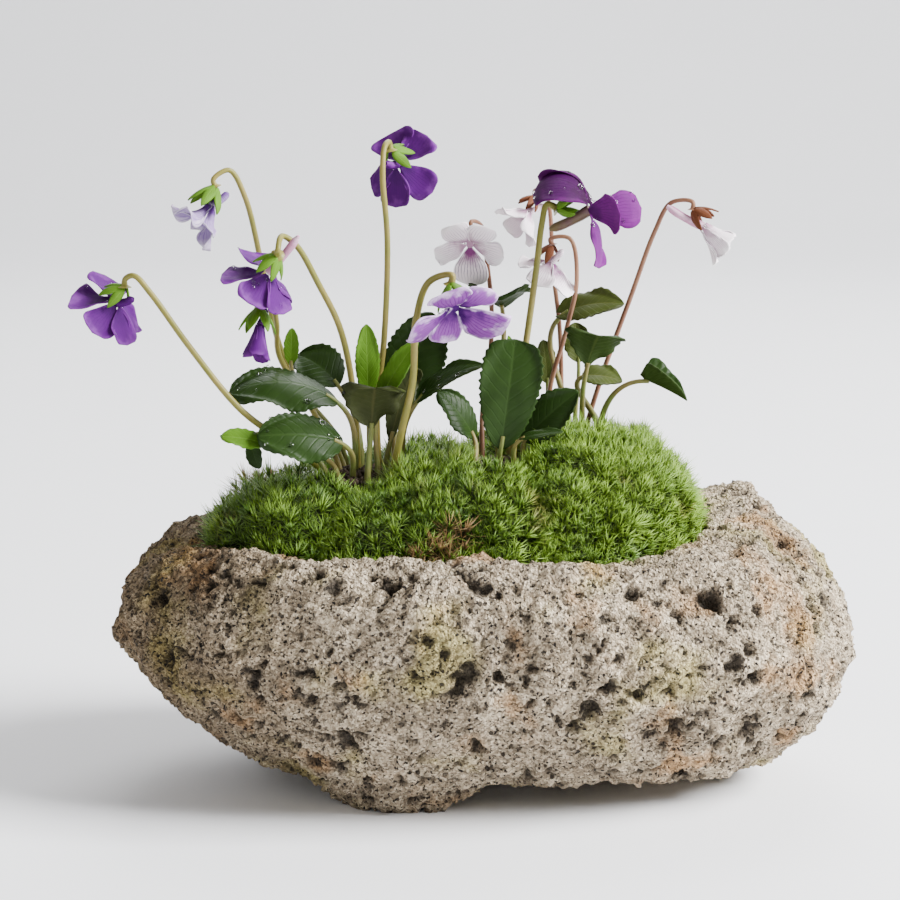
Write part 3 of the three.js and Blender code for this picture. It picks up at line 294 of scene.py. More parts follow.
# Lengths in millimetres of a flower whose scale is 1
FLOWER = dict(
    petal=10.5, root=1.2, claw=0.5, crowding=0.78, spur=(0, -2.6, -5.2), spur_radius=1.2,
    calyx=(0, 1.3, -4.8), calyx_root=0.85, sepal_length=6.6, sepal_width=2.5,
    sepal_turns=(-152, -28, 30, 90, 150), hook=(0, 2.7, -6.3),
)
# How far a flower's petals curl forward at their sides, or backward where it is negative
USUAL_CUP = -0.08
CUP = {"violet_4": 0.4, "pale_violet_4": 0.35, "violet_2": 0.5, "pale_violet_1": -0.2, "violet_6": -0.15}

PETAL_GAP = 0.16  # between petals that overlap
SEPAL_ANGLES = (50, 14)  # from the flower's axis at the root and at the tip

# Drops of water on each piece
WETTED = {
    "left_leaf_2_blade": 9, "left_leaf_1_blade": 6, "left_leaf_4_blade": 2, "left_leaf_8_blade": 4,
    "violet_7_corolla": 36, "violet_3_corolla": 14, "violet_1_corolla": 6, "violet_6_corolla": 22,
    "pale_violet_1_corolla": 26, "left_leaf_10_blade": 4, "right_leaf_2_blade": 3,
}

# Throat, the way the flower faces, its scale and colours, its crown and foot, and the path of its stalk
FLOWERS = {
    "violet_1": dict(
        throat=(-84.6, -6.4, 112.6), facing=(-0.62, 0.42, -0.66), scale=0.88, finish="petal_violet",
        crown="left", foot=(-9, -0.4), radius=0.78,
        path=[(-47, -7, 80.5), (-56.5, -12, 89), (-67.9, -11, 103.2), (-76.6, -9.6, 115.2), (-80.2, -9, 119)],
    ),
    "violet_2": dict(
        throat=(-63.8, 5, 133.8), facing=(-0.45, -0.2, -0.87), scale=0.88, finish="petal_withered",
        ripple=1.1, crown="left", foot=(-4.8, 5.4), radius=0.72, calyx=1.2,
        path=[(-40, 12, 84), (-48.4, 14, 98.5), (-52.5, 11, 118.4), (-56.2, 8, 135.6), (-59.6, 6.6, 141.8)],
    ),
    "violet_3": dict(
        throat=(-49.8, -8, 119.6), facing=(-0.52, 0.35, -0.77), scale=0.88, finish="petal_violet", spur=2.4,
        roll=-90, crown="left", foot=(-1.6, 2.2), radius=0.78, neck=1.3,
        path=[(-31.2, 2.5, 91), (-34, 1, 105.6), (-38.8, -2.6, 116.5), (-43.4, -6, 125.4),
              (-46.6, -8.4, 128)],
    ),
    "violet_4": dict(
        throat=(-52.2, -4, 107.1), facing=(-0.1, -0.25, -0.95), scale=0.8, finish="petal_violet",
        ripple=0.1, crown="left", foot=(-5.6, 1.4), radius=0.7, calyx=1.3,
        path=[(-40, 6.5, 84), (-48.4, 5.5, 98.5), (-48.6, -0.6, 107.6), (-49.7, -2.6, 113.2)],
    ),
    "violet_5": dict(
        throat=(-20.8, 8, 143.2), facing=(0.4, 0.75, -0.5), scale=0.92, finish="petal_violet", crown="left",
        foot=(3.2, 3.4), radius=0.78,
        path=[(-25.6, 3.5, 88.5), (-23.9, 2, 102.9), (-23, 0.4, 126.2), (-24, -0.8, 141),
              (-23.6, 1.4, 147.4)],
    ),
    "violet_6": dict(
        throat=(-7.6, -22, 113.4), facing=(0.24, -0.5, -0.83), scale=1.04, finish="petal_lilac",
        crown="left", foot=(6.4, -7), radius=0.88,
        path=[(-19.5, -12, 84.5), (-17, -14.2, 96), (-16.2, -15.6, 110), (-13.4, -17, 118.4)],
    ),
    "violet_7": dict(
        throat=(23, -6, 133.8), facing=(0.93, -0.3, 0.2), scale=1.08, finish="petal_violet", neck=1.4,
        spur=1.8, crown="middle", foot=(3.5, 3.4), radius=0.85, calyx=0.8,
        path=[(6.6, -2, 88), (9, -2.4, 103.5), (11.2, -3.6, 120.5), (12.4, -3.4, 130.6)],
    ),
    "pale_violet_1": dict(
        throat=(-4, 4, 125), facing=(-0.08, -0.72, -0.66), scale=0.78, finish="petal_pink", crown="middle",
        foot=(-3.6, 6.2), radius=0.6, calyx=0.75,
        path=[(-1, 4, 86), (0.8, 11, 97), (1.2, 13, 109), (0.2, 12, 119), (-1.2, 10.6, 128.4)],
    ),
    "pale_violet_2": dict(
        throat=(9.8, 14, 131.6), facing=(-0.6, -0.3, -0.74), scale=0.74, finish="petal_pink", crown="right",
        foot=(-1.4, 3.2), radius=0.6, calyx=0.8,
        path=[(18, 16.5, 88), (17.4, 17, 104), (15.7, 16, 118), (14.8, 14.6, 132), (13.6, 14.8, 136.6)],
    ),
    "pale_violet_3": dict(
        throat=(14.8, 7, 120.6), facing=(-0.3, 0.22, -0.93), scale=0.76, finish="petal_pink", crown="right",
        foot=(-5, -1), radius=0.6, calyx=0.9,
        path=[(15, 11, 90), (18.8, 8.6, 105), (20.9, 6.3, 116.6), (19.2, 6.4, 126)],
    ),
    "pale_violet_4": dict(
        throat=(50.4, 9.6, 128.6), facing=(0.72, -0.12, -0.66), scale=0.9, finish="petal_pink", spur=2,
        crown="right", foot=(4, 1), radius=0.62, calyx=0.95,
        path=[(27.2, 14, 92), (34.2, 13.5, 112.2), (39.4, 13, 127), (43, 12, 133.8)],
    ),
}


# Sizes and colours that can be changed


def colour(name, value):
    words = dict(name=name, description=f"{name}, in linear colour", subtype="COLOR")
    return FloatVectorProperty(default=value, size=3, min=0, max=1, **words)


def length(name, value, description):
    return FloatProperty(name=name, description=description, default=value * MM, precision=5, unit="LENGTH")


class PlanterStone(bpy.types.PropertyGroup):
    grain: length("Grain", 0.9, "Size of the grains that the rough surface is made of")
    roughness: length("Roughness", 0.95, "Height of the grains and small lumps")
    pit_depth: FloatProperty(name="Pit depth", description="Depth of a pit against its radius", default=1.2)
    pale: colour("Pale grain", (1.0, 0.85, 0.63))
    middle: colour("Middle grain", (0.45, 0.36, 0.25))
    dark: colour("Dark grain", (0.03, 0.025, 0.022))


class PlanterMoss(bpy.types.PropertyGroup):
    spacing: length("Spacing", 2.15, "Distance from one shoot to the next")
    leaf_length: length("Leaf length", 5.0, "Length of the needle leaves of a shoot")
    leaf_width: length("Leaf width", 0.29, "Width of the needle leaves")
    leaves: IntProperty(name="Leaves", description="Needle leaves of a shoot", default=40, min=6)
    fresh: colour("Fresh tips", (0.21, 0.35, 0.032))
    green: colour("Green", (0.06, 0.14, 0.013))
    brown: colour("Dry leaves", (0.30, 0.18, 0.07))


class PlanterLeaves(bpy.types.PropertyGroup):
    thickness: length("Thickness", 0.25, "Thickness of a leaf")
    dark: colour("Dark leaf", (0.015, 0.034, 0.006))
    bright: colour("Bright leaf", (0.075, 0.17, 0.012))
    olive: colour("Olive leaf", (0.045, 0.060, 0.012))


class PlanterFlowers(bpy.types.PropertyGroup):
    thickness: length("Thickness", 0.2, "Thickness of a petal")
    violet: colour("Violet", (0.072, 0.006, 0.125))
    lilac: colour("Lilac", (0.22, 0.055, 0.30))
    withered: colour("Withered", (0.30, 0.21, 0.42))
    pink: colour("Pink", (0.90, 0.80, 0.85))
    stalk: colour("Green stalk", (0.19, 0.185, 0.035))
    red_stalk: colour("Red stalk", (0.20, 0.085, 0.05))
    sepal: colour("Sepal", (0.085, 0.19, 0.014))


class PlanterStage(bpy.types.PropertyGroup):
    floor: colour("Floor", (0.95, 0.96, 0.99))
    key: FloatProperty(name="Key light", description="Power of the main soft light", default=98, unit="POWER")
    fill: FloatProperty(name="Fill light", description="Power of the light in front", default=2, unit="POWER")
    back: FloatProperty(name="Back light", description="Power of the light behind", default=12, unit="POWER")


# Points and meshes


def planter_points(points):
    """Table coordinates in millimetres as the row's coordinates in metres."""
    return np.asarray(points, float) * MM + SHIFT


def mesh_points(piece):
    points = np.empty(len(piece.data.vertices) * 3)
    piece.data.vertices.foreach_get("co", points)
    return points.reshape(-1, 3)


def mesh_normals(piece):
    normals = np.empty(len(piece.data.vertices) * 3)
    piece.data.vertex_normals.foreach_get("vector", normals)
    return normals.reshape(-1, 3)


def set_points(piece, points):
    piece.data.vertices.foreach_set("co", np.ascontiguousarray(points, dtype=np.float32).ravel())
    piece.data.update()


def unit(vectors):
    vectors = np.asarray(vectors, float)
    return vectors / np.maximum(np.linalg.norm(vectors, axis=-1, keepdims=True), 1e-12)


def select_only(*pieces):
    bpy.ops.object.select_all(action="DESELECT")
    for piece in pieces:
        piece.select_set(True)
    bpy.context.view_layer.objects.active = pieces[0]


def apply_modifier(piece, kind, **settings):
    modifier = piece.modifiers.new(kind.title(), kind)
    for name, value in settings.items():
        setattr(modifier, name, value)
    select_only(piece)
    bpy.ops.object.modifier_apply(modifier=modifier.name)


def join(name, pieces):
    select_only(*pieces)
    bpy.ops.object.join()
    whole = bpy.context.object
    whole.name = whole.data.name = name
    return whole


def grid_sheet(columns, rows, place, materials):
    """A grid over place(u, v), u from 0 at its root to 1 at its tip and v from -1 to 1 across it."""
    bpy.ops.object.select_all(action="DESELECT")
    bpy.ops.mesh.primitive_grid_add(x_subdivisions=columns, y_subdivisions=rows, size=1)
    sheet = bpy.context.object
    flat = mesh_points(sheet)
    set_points(sheet, planter_points(place(flat[:, 1] + 0.5, -2 * flat[:, 0])))
    for material in materials:
        sheet.data.materials.append(material)
    return sheet


def tube(points, radii, material):
    """A round tube through the points, its radius given at each."""
    curve = bpy.data.curves.new("tube", "CURVE")
    curve.dimensions = "3D"
    curve.bevel_depth = MM
    curve.bevel_resolution = 2
    curve.use_fill_caps = True
    spline = curve.splines.new("POLY")
    spline.points.add(len(points) - 1)
    for point, place, radius in zip(spline.points, planter_points(points), radii):
        point.co = (*place, 1)
        point.radius = radius
    piece = bpy.data.objects.new("tube", curve)
    bpy.context.scene.collection.objects.link(piece)
    select_only(piece)
    bpy.ops.object.convert(target="MESH")
    piece = bpy.context.object
    piece.data.materials.append(material)
    return piece


def smooth_path(points, steps):
    """A centripetal Catmull-Rom curve through the points."""
    points = np.asarray(points, float)
    ends = [2 * points[0] - points[1], *points, 2 * points[-1] - points[-2]]
    knots = np.cumsum([0, *np.sqrt(np.linalg.norm(np.diff(ends, axis=0), axis=1))])
    spans = len(points) - 1
    path = []
    for place in np.linspace(0, spans - 1e-9, steps + 1):
        i = int(place)
        p, k = ends[i : i + 4], knots[i : i + 4]
        t = k[1] + (place - i) * (k[2] - k[1])

        def between(a, b, low, high):
            return ((high - t) * a + (t - low) * b) / (high - low)

        a = [between(p[n], p[n + 1], k[n], k[n + 1]) for n in range(3)]
        b = [between(a[n], a[n + 1], k[n], k[n + 2]) for n in range(2)]
        path.append(between(b[0], b[1], k[1], k[2]))
    return np.array(path)


def finish_piece(piece, slot, *nodes):
    select_only(piece)
    bpy.ops.object.shade_smooth()
    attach(piece, "root")
    if nodes:
        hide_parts(*nodes)


def copy_of_node(name, piece_name):
    """A copy of a solid's mesh, its loose triangles joined."""
    piece = frame["nodes"][name].copy()
    piece.data = piece.data.copy()
    piece.name = piece.data.name = piece_name
    piece.parent = None
    for key in list(piece.keys()):
        del piece[key]
    piece.data.materials.clear()
    bpy.context.scene.collection.objects.link(piece)
    surface = bmesh.new()
    surface.from_mesh(piece.data)
    bmesh.ops.remove_doubles(surface, verts=surface.verts, dist=1e-6)
    surface.to_mesh(piece.data)
    surface.free()
    return piece


def ball(subdivisions):
    """Points and triangles of a ball whose radius is 1."""
    bpy.ops.object.select_all(action="DESELECT")
    bpy.ops.mesh.primitive_ico_sphere_add(subdivisions=subdivisions, radius=1)
    seed = bpy.context.object
    points = mesh_points(seed)
    triangles = np.array([polygon.vertices[:] for polygon in seed.data.polygons])
    bpy.data.objects.remove(seed)
    return points, triangles


def scattered(name, copies, triangles, material):
    """A piece of many copies of one shape, each with its own points in metres."""
    faces = [triangles + i * len(points) for i, points in enumerate(copies)]
    return mesh_piece(name, np.vstack(copies), np.vstack(faces), material)


def mesh_piece(name, points, triangles, material, tints=None):
    """A piece from arrays of points in metres and of triangles, with a UV point for each mesh point."""
    mesh = bpy.data.meshes.new(name)
    mesh.vertices.add(len(points))
    mesh.vertices.foreach_set("co", np.asarray(points, np.float32).ravel())
    mesh.loops.add(triangles.size)
    mesh.loops.foreach_set("vertex_index", triangles.astype(np.int32).ravel())
    mesh.polygons.add(len(triangles))
    mesh.polygons.foreach_set("loop_start", np.arange(0, triangles.size, 3, dtype=np.int32))
    if tints is not None:
        layer = mesh.uv_layers.new(name="UVMap")
        layer.data.foreach_set("uv", tints[triangles.ravel()].astype(np.float32).ravel())
    mesh.update(calc_edges=True)
    mesh.validate()
    mesh.materials.append(material)
    piece = bpy.data.objects.new(name, mesh)
    bpy.context.scene.collection.objects.link(piece)
    return piece


# Materials


class Wiring:
    """Adds shader nodes to a tree and links them."""

    def __init__(self, tree):
        self.tree = tree

    def feed(self, socket, value):
        """Links an output to an input socket, or sets a plain value on it."""
        if isinstance(value, bpy.types.NodeSocket):
            self.tree.links.new(value, socket)
        else:
            socket.default_value = value

    def add(self, kind, inputs=None, output=0, **settings):
        node = self.tree.nodes.new(kind)
        for name, value in settings.items():
            setattr(node, name, value)
        for key, value in (inputs or {}).items():
            self.feed(node.inputs[key], value)
        return node.outputs[output]

    def math(self, operation, *values, clamp=False):
        return self.add("ShaderNodeMath", dict(enumerate(values)), operation=operation, use_clamp=clamp)

    def plus(self, a, b):
        return self.math("ADD", a, b)

    def minus(self, a, b, clamp=False):
        return self.math("SUBTRACT", a, b, clamp=clamp)

    def times(self, a, b, clamp=False):
        return self.math("MULTIPLY", a, b, clamp=clamp)

    def mix(self, amount, low, high, blend="MIX"):
        low, high = (end if isinstance(end, bpy.types.NodeSocket) else (*end, 1) for end in (low, high))
        return self.add("ShaderNodeMix", {0: amount, 6: low, 7: high}, 2, data_type="RGBA", blend_type=blend)

    def step(self, value, low, high):
        """0 below low, 1 above high, and smooth between."""
        inputs = {"Value": value, "From Min": low, "From Max": high}
        return self.add("ShaderNodeMapRange", inputs, interpolation_type="SMOOTHSTEP")

    def effect(self, name, inputs, output=0):
        return self.add("ShaderNodeGroup", inputs, output, node_tree=bpy.data.node_groups[name])

    def patches(self, size, detail=3.0, seed=0.0):
        return self.effect("patches", {"Size": size, "Detail": detail, "Seed": seed})

    def place(self):
        """The place on the piece in millimetres."""
        place = self.add("ShaderNodeTexCoord", output=3)
        return self.add("ShaderNodeVectorMath", {0: place, 3: 1000.0}, operation="SCALE")

    def own_map(self):
        """The piece's own UV map, and how far across and along it."""
        uv = self.add("ShaderNodeTexCoord", output=2)
        parts = self.add("ShaderNodeSeparateXYZ", {0: uv})
        return uv, parts, parts.node.outputs[1]

    def swayed(self, value, uv, scale, detail):
        sway = self.add("ShaderNodeTexNoise", {"Vector": uv, "Scale": scale, "Detail": detail})
        return self.plus(value, self.times(self.minus(sway, 0.5), 0.06))

    def stripes(self, value, count, width):
        """1 in the middle of each of count stripes, and 0 at half their width and beyond."""
        off = self.math("ABSOLUTE", self.minus(self.math("FRACT", self.times(value, count)), 0.5))
        return self.line(off, width)

    def line(self, off, width):
        return self.minus(1.0, self.math("DIVIDE", off, width), clamp=True)


def new_effect(name, inputs, *outputs):
    """A new shader node group: its wiring, and the sockets that it is given and that it makes."""
    tree = bpy.data.node_groups.new(name, "ShaderNodeTree")
    for label, default in inputs.items():
        socket = tree.interface.new_socket(label, in_out="INPUT", socket_type="NodeSocketFloat")
        socket.default_value = default
    for label in outputs:
        tree.interface.new_socket(label, in_out="OUTPUT", socket_type="NodeSocketFloat")
    entry, leave = tree.nodes.new("NodeGroupInput"), tree.nodes.new("NodeGroupOutput")
    return Wiring(tree), entry.outputs, leave.inputs


def make_patches():
    """Soft patches of a size in millimetres."""
    wiring, given, made = new_effect("patches", {"Size": 10, "Detail": 3, "Seed": 0}, "Value")
    inputs = {
        "Vector": wiring.place(),
        "W": given["Seed"],
        "Scale": wiring.math("DIVIDE", 1.0, given["Size"]),
        "Detail": given["Detail"],
    }
    wiring.feed(made["Value"], wiring.add("ShaderNodeTexNoise", inputs, noise_dimensions="4D"))


def make_fan_veins():
    """Thin veins that fan out along a petal, from its root to near its edge."""
    wiring, given, made = new_effect("fan veins", {"Count": 9, "Width": 0.12, "Reach": 0.9}, "Value")
    uv, across, along = wiring.own_map()
    line = wiring.stripes(wiring.swayed(across, uv, 7.0, 1.0), given["Count"], given["Width"])
    fade = wiring.times(wiring.minus(given["Reach"], along), 3.0, clamp=True)
    wiring.feed(made["Value"], wiring.times(line, fade))


def make_leaf_veins():
    """The midrib of a leaf and the side veins that slant from it to the edge."""
    wiring, given, made = new_effect("leaf veins", {"Pairs": 7, "Slant": 0.5}, "Veins", "Midrib")
    uv, across, along = wiring.own_map()
    out = wiring.math("ABSOLUTE", wiring.minus(across, 0.5))
    slanted = wiring.swayed(wiring.minus(along, wiring.times(out, given["Slant"])), uv, 5.0, 2.0)
    wiring.feed(made["Veins"], wiring.stripes(slanted, given["Pairs"], 0.14))
    wiring.feed(made["Midrib"], wiring.line(out, 0.035))


def new_material(name):
    material = bpy.data.materials.new(name)
    material.use_nodes = True
    shader = next(node for node in material.node_tree.nodes if node.type == "BSDF_PRINCIPLED")
    return material, Wiring(material.node_tree), shader


def surface(wiring, shader, base, roughness, specular=0.5):
    wiring.feed(shader.inputs["Base Color"], base)
    wiring.feed(shader.inputs["Roughness"], roughness)
    shader.inputs["Specular IOR Level"].default_value = specular


def bump(wiring, shader, height, strength, distance):
    inputs = {"Strength": strength, "Distance": distance * MM, "Height": height}
    wiring.feed(shader.inputs["Normal"], wiring.add("ShaderNodeBump", inputs))


def stone_material(look):
    """Grains of pale, middle and black mineral, with painted shade in the pits and towards the left end,
    stains and a trace of algae.
    """
    material, wiring, shader = new_material("volcanic stone")
    still = wiring.place()
    wobble = wiring.add("ShaderNodeTexNoise", {"Vector": still, "Scale": 2.6, "Detail": 2.0}, output=1)
    wobble = wiring.add("ShaderNodeVectorMath", {0: wobble, 3: 0.6}, operation="SCALE")
    place = wiring.add("ShaderNodeVectorMath", {0: still, 1: wobble}, operation="ADD")

    # Grains and black specks
    cells = wiring.add("ShaderNodeTexVoronoi", {"Vector": place, "Scale": 1.9}, output=1)
    ramp = wiring.add("ShaderNodeValToRGB", {0: wiring.add("ShaderNodeSeparateColor", {0: cells})})
    marks = ramp.node.color_ramp
    marks.elements[0].position, marks.elements[0].color = 0.04, (*look.dark, 1)
    marks.elements[1].position, marks.elements[1].color = 1.0, (*look.pale, 1)
    for position, share in ((0.12, 0.5), (0.28, 0.95), (0.55, 1.35)):
        marks.elements.new(position).color = (*(share * c for c in look.middle), 1)
    specks = wiring.step(wiring.patches(0.75, 4.0), 0.62, 0.67)
    base = wiring.mix(wiring.times(specks, 0.8), ramp, look.dark)

    # Light and dark patches, ochre stains, algae, and painted shade that darkens the left end
    tone = wiring.step(wiring.patches(7.0, 5.0, 3.0), 0.3, 0.7)
    base = wiring.mix(0.7, base, wiring.mix(tone, (0.36, 0.34, 0.32), (1.0, 1.0, 1.0)), "MULTIPLY")
    stain = wiring.times(wiring.step(wiring.patches(13.0, 6.0, 9.0), 0.53, 0.68), 0.85)
    base = wiring.mix(stain, base, wiring.mix(0.7, base, (0.95, 0.58, 0.24), "MULTIPLY"))
    algae = wiring.times(wiring.step(wiring.patches(20.0, 6.0, 21.0), 0.5, 0.66), 0.85)
    base = wiring.mix(algae, base, wiring.mix(0.75, base, (0.80, 0.84, 0.32), "MULTIPLY"))
    # Painted shade: the stone darkens towards its left end, which the light reaches less
    across = wiring.add("ShaderNodeSeparateXYZ", {0: still})
    across = wiring.plus(across, wiring.times(wiring.patches(18.0, 4.0, 31.0), 50.0))
    left_end_shade = wiring.times(wiring.step(across, 0.0, -45.0), 0.9)
    base = wiring.mix(left_end_shade, base, wiring.mix(1.0, base, (0.42, 0.37, 0.30), "MULTIPLY"))

    # Pits of the mesh and smaller pores, darkened as painted shade
    pores = wiring.add("ShaderNodeTexVoronoi", {"Vector": place, "Scale": 0.62})
    size = wiring.add("ShaderNodeSeparateColor", {0: pores.node.outputs[1]}, output=1)
    width = wiring.times(wiring.times(size, size), 0.36)
    hollow = wiring.step(wiring.minus(width, pores), -0.03, 0.05)
    pit = wiring.add("ShaderNodeAttribute", output=2, attribute_name="pit")
    # Painted shade: the pits and pores are darkened as if shadow lay in them
    dark = wiring.times(wiring.math("MAXIMUM", pit, hollow), 0.9)
    base = wiring.mix(dark, base, (0.028, 0.022, 0.017))
    surface(wiring, shader, base, 0.92, 0.25)

    grain = wiring.add("ShaderNodeTexVoronoi", {"Vector": place, "Scale": 1.5})
    height = wiring.plus(wiring.times(grain, 0.5), wiring.patches(1.3, 5.0, 5.0))
    height = wiring.minus(height, wiring.times(hollow, 0.9))
    bump(wiring, shader, height, 1.0, 1.9)
    return material


def soil_material():
    material, wiring, shader = new_material("dark soil")
    base = wiring.mix(wiring.patches(1.5, 4.0), (0.012, 0.008, 0.005), (0.075, 0.045, 0.024))
    base = wiring.mix(wiring.step(wiring.patches(4.0, 3.0, 4.0), 0.55, 0.7), base, (0.12, 0.075, 0.04))
    surface(wiring, shader, base, 0.95)
    bump(wiring, shader, wiring.patches(1.2, 5.0, 8.0), 1.0, 1.2)
    return material


def net_material():
    material, wiring, shader = new_material("black net plastic")
    base = wiring.mix(wiring.patches(2.0), (0.012, 0.013, 0.014), (0.03, 0.031, 0.032))
    surface(wiring, shader, base, 0.6)
    bump(wiring, shader, wiring.patches(0.3), 0.3, 0.1)
    return material


def moss_material(look):
    """Needle leaves, dark at their roots and yellow-green at their tips, with dry patches."""
    material, wiring, shader = new_material("moss leaves")
    _, tint, along = wiring.own_map()
    body = wiring.mix(wiring.times(tint, 1.0, clamp=True), look.green, look.fresh)
    base = wiring.mix(wiring.step(along, 0.05, 0.7), (0.014, 0.024, 0.003), body)
    base = wiring.mix(wiring.times(wiring.step(along, 0.6, 1.0), 0.45), base, look.fresh)
    dry_tips = wiring.step(wiring.patches(9.0, 4.0, 13.0), 0.58, 0.7)
    dry_tips = wiring.times(dry_tips, wiring.step(along, 0.4, 0.9))
    base = wiring.mix(wiring.times(dry_tips, 0.6), base, look.brown)
    dead = wiring.step(wiring.times(tint, -1.0), 0.0, 0.5)
    base = wiring.mix(dead, base, wiring.mix(wiring.step(along, 0.0, 0.8), (0.04, 0.02, 0.008), look.brown))
    surface(wiring, shader, base, 0.42, 0.3)
    return material


def mat_material():
    material, wiring, shader = new_material("moss mat")
    # Painted shade: near-black green for the shade between the shoots
    base = wiring.mix(wiring.patches(2.0, 4.0), (0.008, 0.012, 0.002), (0.035, 0.05, 0.008))
    surface(wiring, shader, base, 1.0)
    bump(wiring, shader, wiring.patches(0.8, 4.0), 1.0, 0.8)
    return material


def leaf_material(name, upper, vein, roughness):
    """A waxy leaf with a pale midrib, side veins and a quilted surface between them."""
    material, wiring, shader = new_material(name)
    veins = wiring.effect("leaf veins", {"Pairs": 8.0, "Slant": 0.55})
    midrib = veins.node.outputs[1]
    base = wiring.mix(wiring.patches(5.0, 4.0), [c * 0.5 for c in upper], [min(1, c * 1.5) for c in upper])
    base = wiring.mix(wiring.times(veins, 0.06), base, vein)
    base = wiring.mix(wiring.times(midrib, 0.4), base, vein)
    cloud = wiring.times(wiring.patches(3.0, 3.0, 5.0), 0.25)
    surface(wiring, shader, base, wiring.plus(cloud, roughness), 0.09)
    quilt = wiring.minus(1.0, wiring.math("MAXIMUM", veins, midrib))
    bump(wiring, shader, wiring.plus(quilt, wiring.times(wiring.patches(1.2, 3.0, 7.0), 0.6)), 0.3, 0.2)
    return material


def petal_material(name, throat, body, edge, vein, veined):
    """A petal: deep in the throat, pale at its edge, with fine dark veins that fan out."""
    material, wiring, shader = new_material(name)
    _, across, along = wiring.own_map()
    out = wiring.times(wiring.math("ABSOLUTE", wiring.minus(across, 0.5)), 2.0)
    cloud = wiring.times(wiring.minus(wiring.patches(2.5, 4.0), 0.5), 0.9)
    base = wiring.mix(wiring.step(wiring.plus(along, cloud), 0.05, 0.6), throat, body)
    rim = wiring.step(wiring.plus(wiring.math("MAXIMUM", out, along), cloud), 0.72, 1.02)
    base = wiring.mix(wiring.times(rim, 0.8), base, edge)
    lines = wiring.effect("fan veins", {"Count": 11.0, "Width": 0.16, "Reach": 0.95})
    surface(wiring, shader, wiring.mix(wiring.times(lines, veined), base, vein), 0.6, 0.08)
    bump(wiring, shader, wiring.plus(wiring.times(lines, -0.6), wiring.patches(0.7, 2.0, 3.0)), 0.35, 0.12)
    return material


def stalk_material(name, main, second):
    material, wiring, shader = new_material(name)
    base = wiring.mix(wiring.step(wiring.patches(7.0, 3.0), 0.35, 0.65), main, second)
    base = wiring.mix(wiring.times(wiring.patches(0.6, 2.0, 2.0), 0.3), base, [c * 0.5 for c in main])
    surface(wiring, shader, base, 0.42, 0.25)
    bump(wiring, shader, wiring.patches(0.5, 3.0, 6.0), 0.4, 0.1)
    return material


def water_material():
    material, wiring, shader = new_material("water")
    surface(wiring, shader, (1, 1, 1, 1), 0.02)
    shader.inputs["IOR"].default_value = 1.33
    shader.inputs["Transmission Weight"].default_value = 1.0
    return material


def floor_material(shade):
    material, wiring, shader = new_material("pale floor")
    surface(wiring, shader, wiring.mix(wiring.patches(60.0, 3.0), shade, [c * 0.97 for c in shade]), 0.7)
    return material


# Forms


def swell(u, rise, close):
    """Half-width of a blade at u against its widest."""
    widest = rise / (rise + close)
    most = widest**rise * (1 - widest) ** close
    return np.clip(u, 0, 1) ** rise * np.clip(1 - u, 0, 1) ** close / most


def foot_of(crown, foot):
    x, y, z, radius = CROWNS[crown]
    return np.array([x + foot[0], y + foot[1], z - CROWN_FALL * math.hypot(*foot) / radius])


def leaf_surface(spec):
    base, tip = np.array(spec["base"], float), np.array(spec["tip"], float)
    span = np.linalg.norm(tip - base)
    forward = (tip - base) / span
    side = unit(np.cross(spec["up"], forward))
    face = np.cross(forward, side)
    stalk = 0.75 if spec["width"] > 7 else 0.6
    teeth = max(4, round(span / 1.7))

    def place(u, v):
        half = spec["width"] / 2 * swell(u, spec["rise"], spec["close"])
        half = np.maximum(half, np.where(u < 0.5, stalk * 0.9, 0.06))
        lift = spec["arch"] * 4 * u * (1 - u) + spec["fold"] * np.abs(v) * half
        ripple = 1.3 * spec["wave"] * v * v * np.sin(np.pi * (2.6 * u * v + u)) * np.minimum(1, half / 2)
        back = spec["lobe"] * v * v * (1 - u) ** 3
        tooth = 1 - 0.1 * np.abs(v) ** 3 * (1 - np.abs(2 * ((u * teeth) % 1) - 1)) * np.minimum(1, half)
        quilting = 0.08 * np.sin(2 * np.pi * 8 * (u - 0.28 * np.abs(v))) * np.abs(v)
        quilting = quilting * (1 - v * v) * np.minimum(1, half)
        return (
            base
            + forward * (span * u - back)[:, None]
            + side * (v * half * tooth)[:, None]
            + face * (lift + ripple + quilting)[:, None]
        )

    return place, forward, face, stalk, span


def leaf_stalk(crown, spec, forward, face, span):
    base = np.array(spec["base"], float)
    start = foot_of(crown, spec["foot"])
    reach = np.linalg.norm(base - start)
    outward = unit(0.7 * forward + 0.3 * np.array([0, 0, 1]))
    a, b = start, start + [0, 0, 0.45 * reach]
    c, d = base - 0.35 * reach * outward, base + 0.12 * span * forward + 0.4 * spec["arch"] * face
    t = np.linspace(0, 1, 22)[:, None]
    path = (1 - t) ** 3 * a + 3 * t * (1 - t) ** 2 * b + 3 * t * t * (1 - t) * c + t**3 * d
    return np.vstack([start - [0, 0, ROOT_DEPTH], path])


def flower_frame(flower):
    forward = unit(np.array(flower["facing"], float))
    right = unit(np.cross([0, 0, 1], forward))
    up = np.cross(forward, right)
    axes = np.array([right, up, forward])
    throat = np.array(flower["throat"], float)
    return lambda points: np.asarray(points, float) @ axes + throat


def behind_throat(point, flower, stretch):
    """A point behind the throat, turned about the flower's axis by its roll and drawn out along it."""
    roll = math.radians(flower.get("roll", 0))
    x, y, z = np.array(point, float) * flower["scale"]
    across, up = x * math.cos(roll) - y * math.sin(roll), x * math.sin(roll) + y * math.cos(roll)
    return np.array([across, up, z * stretch])


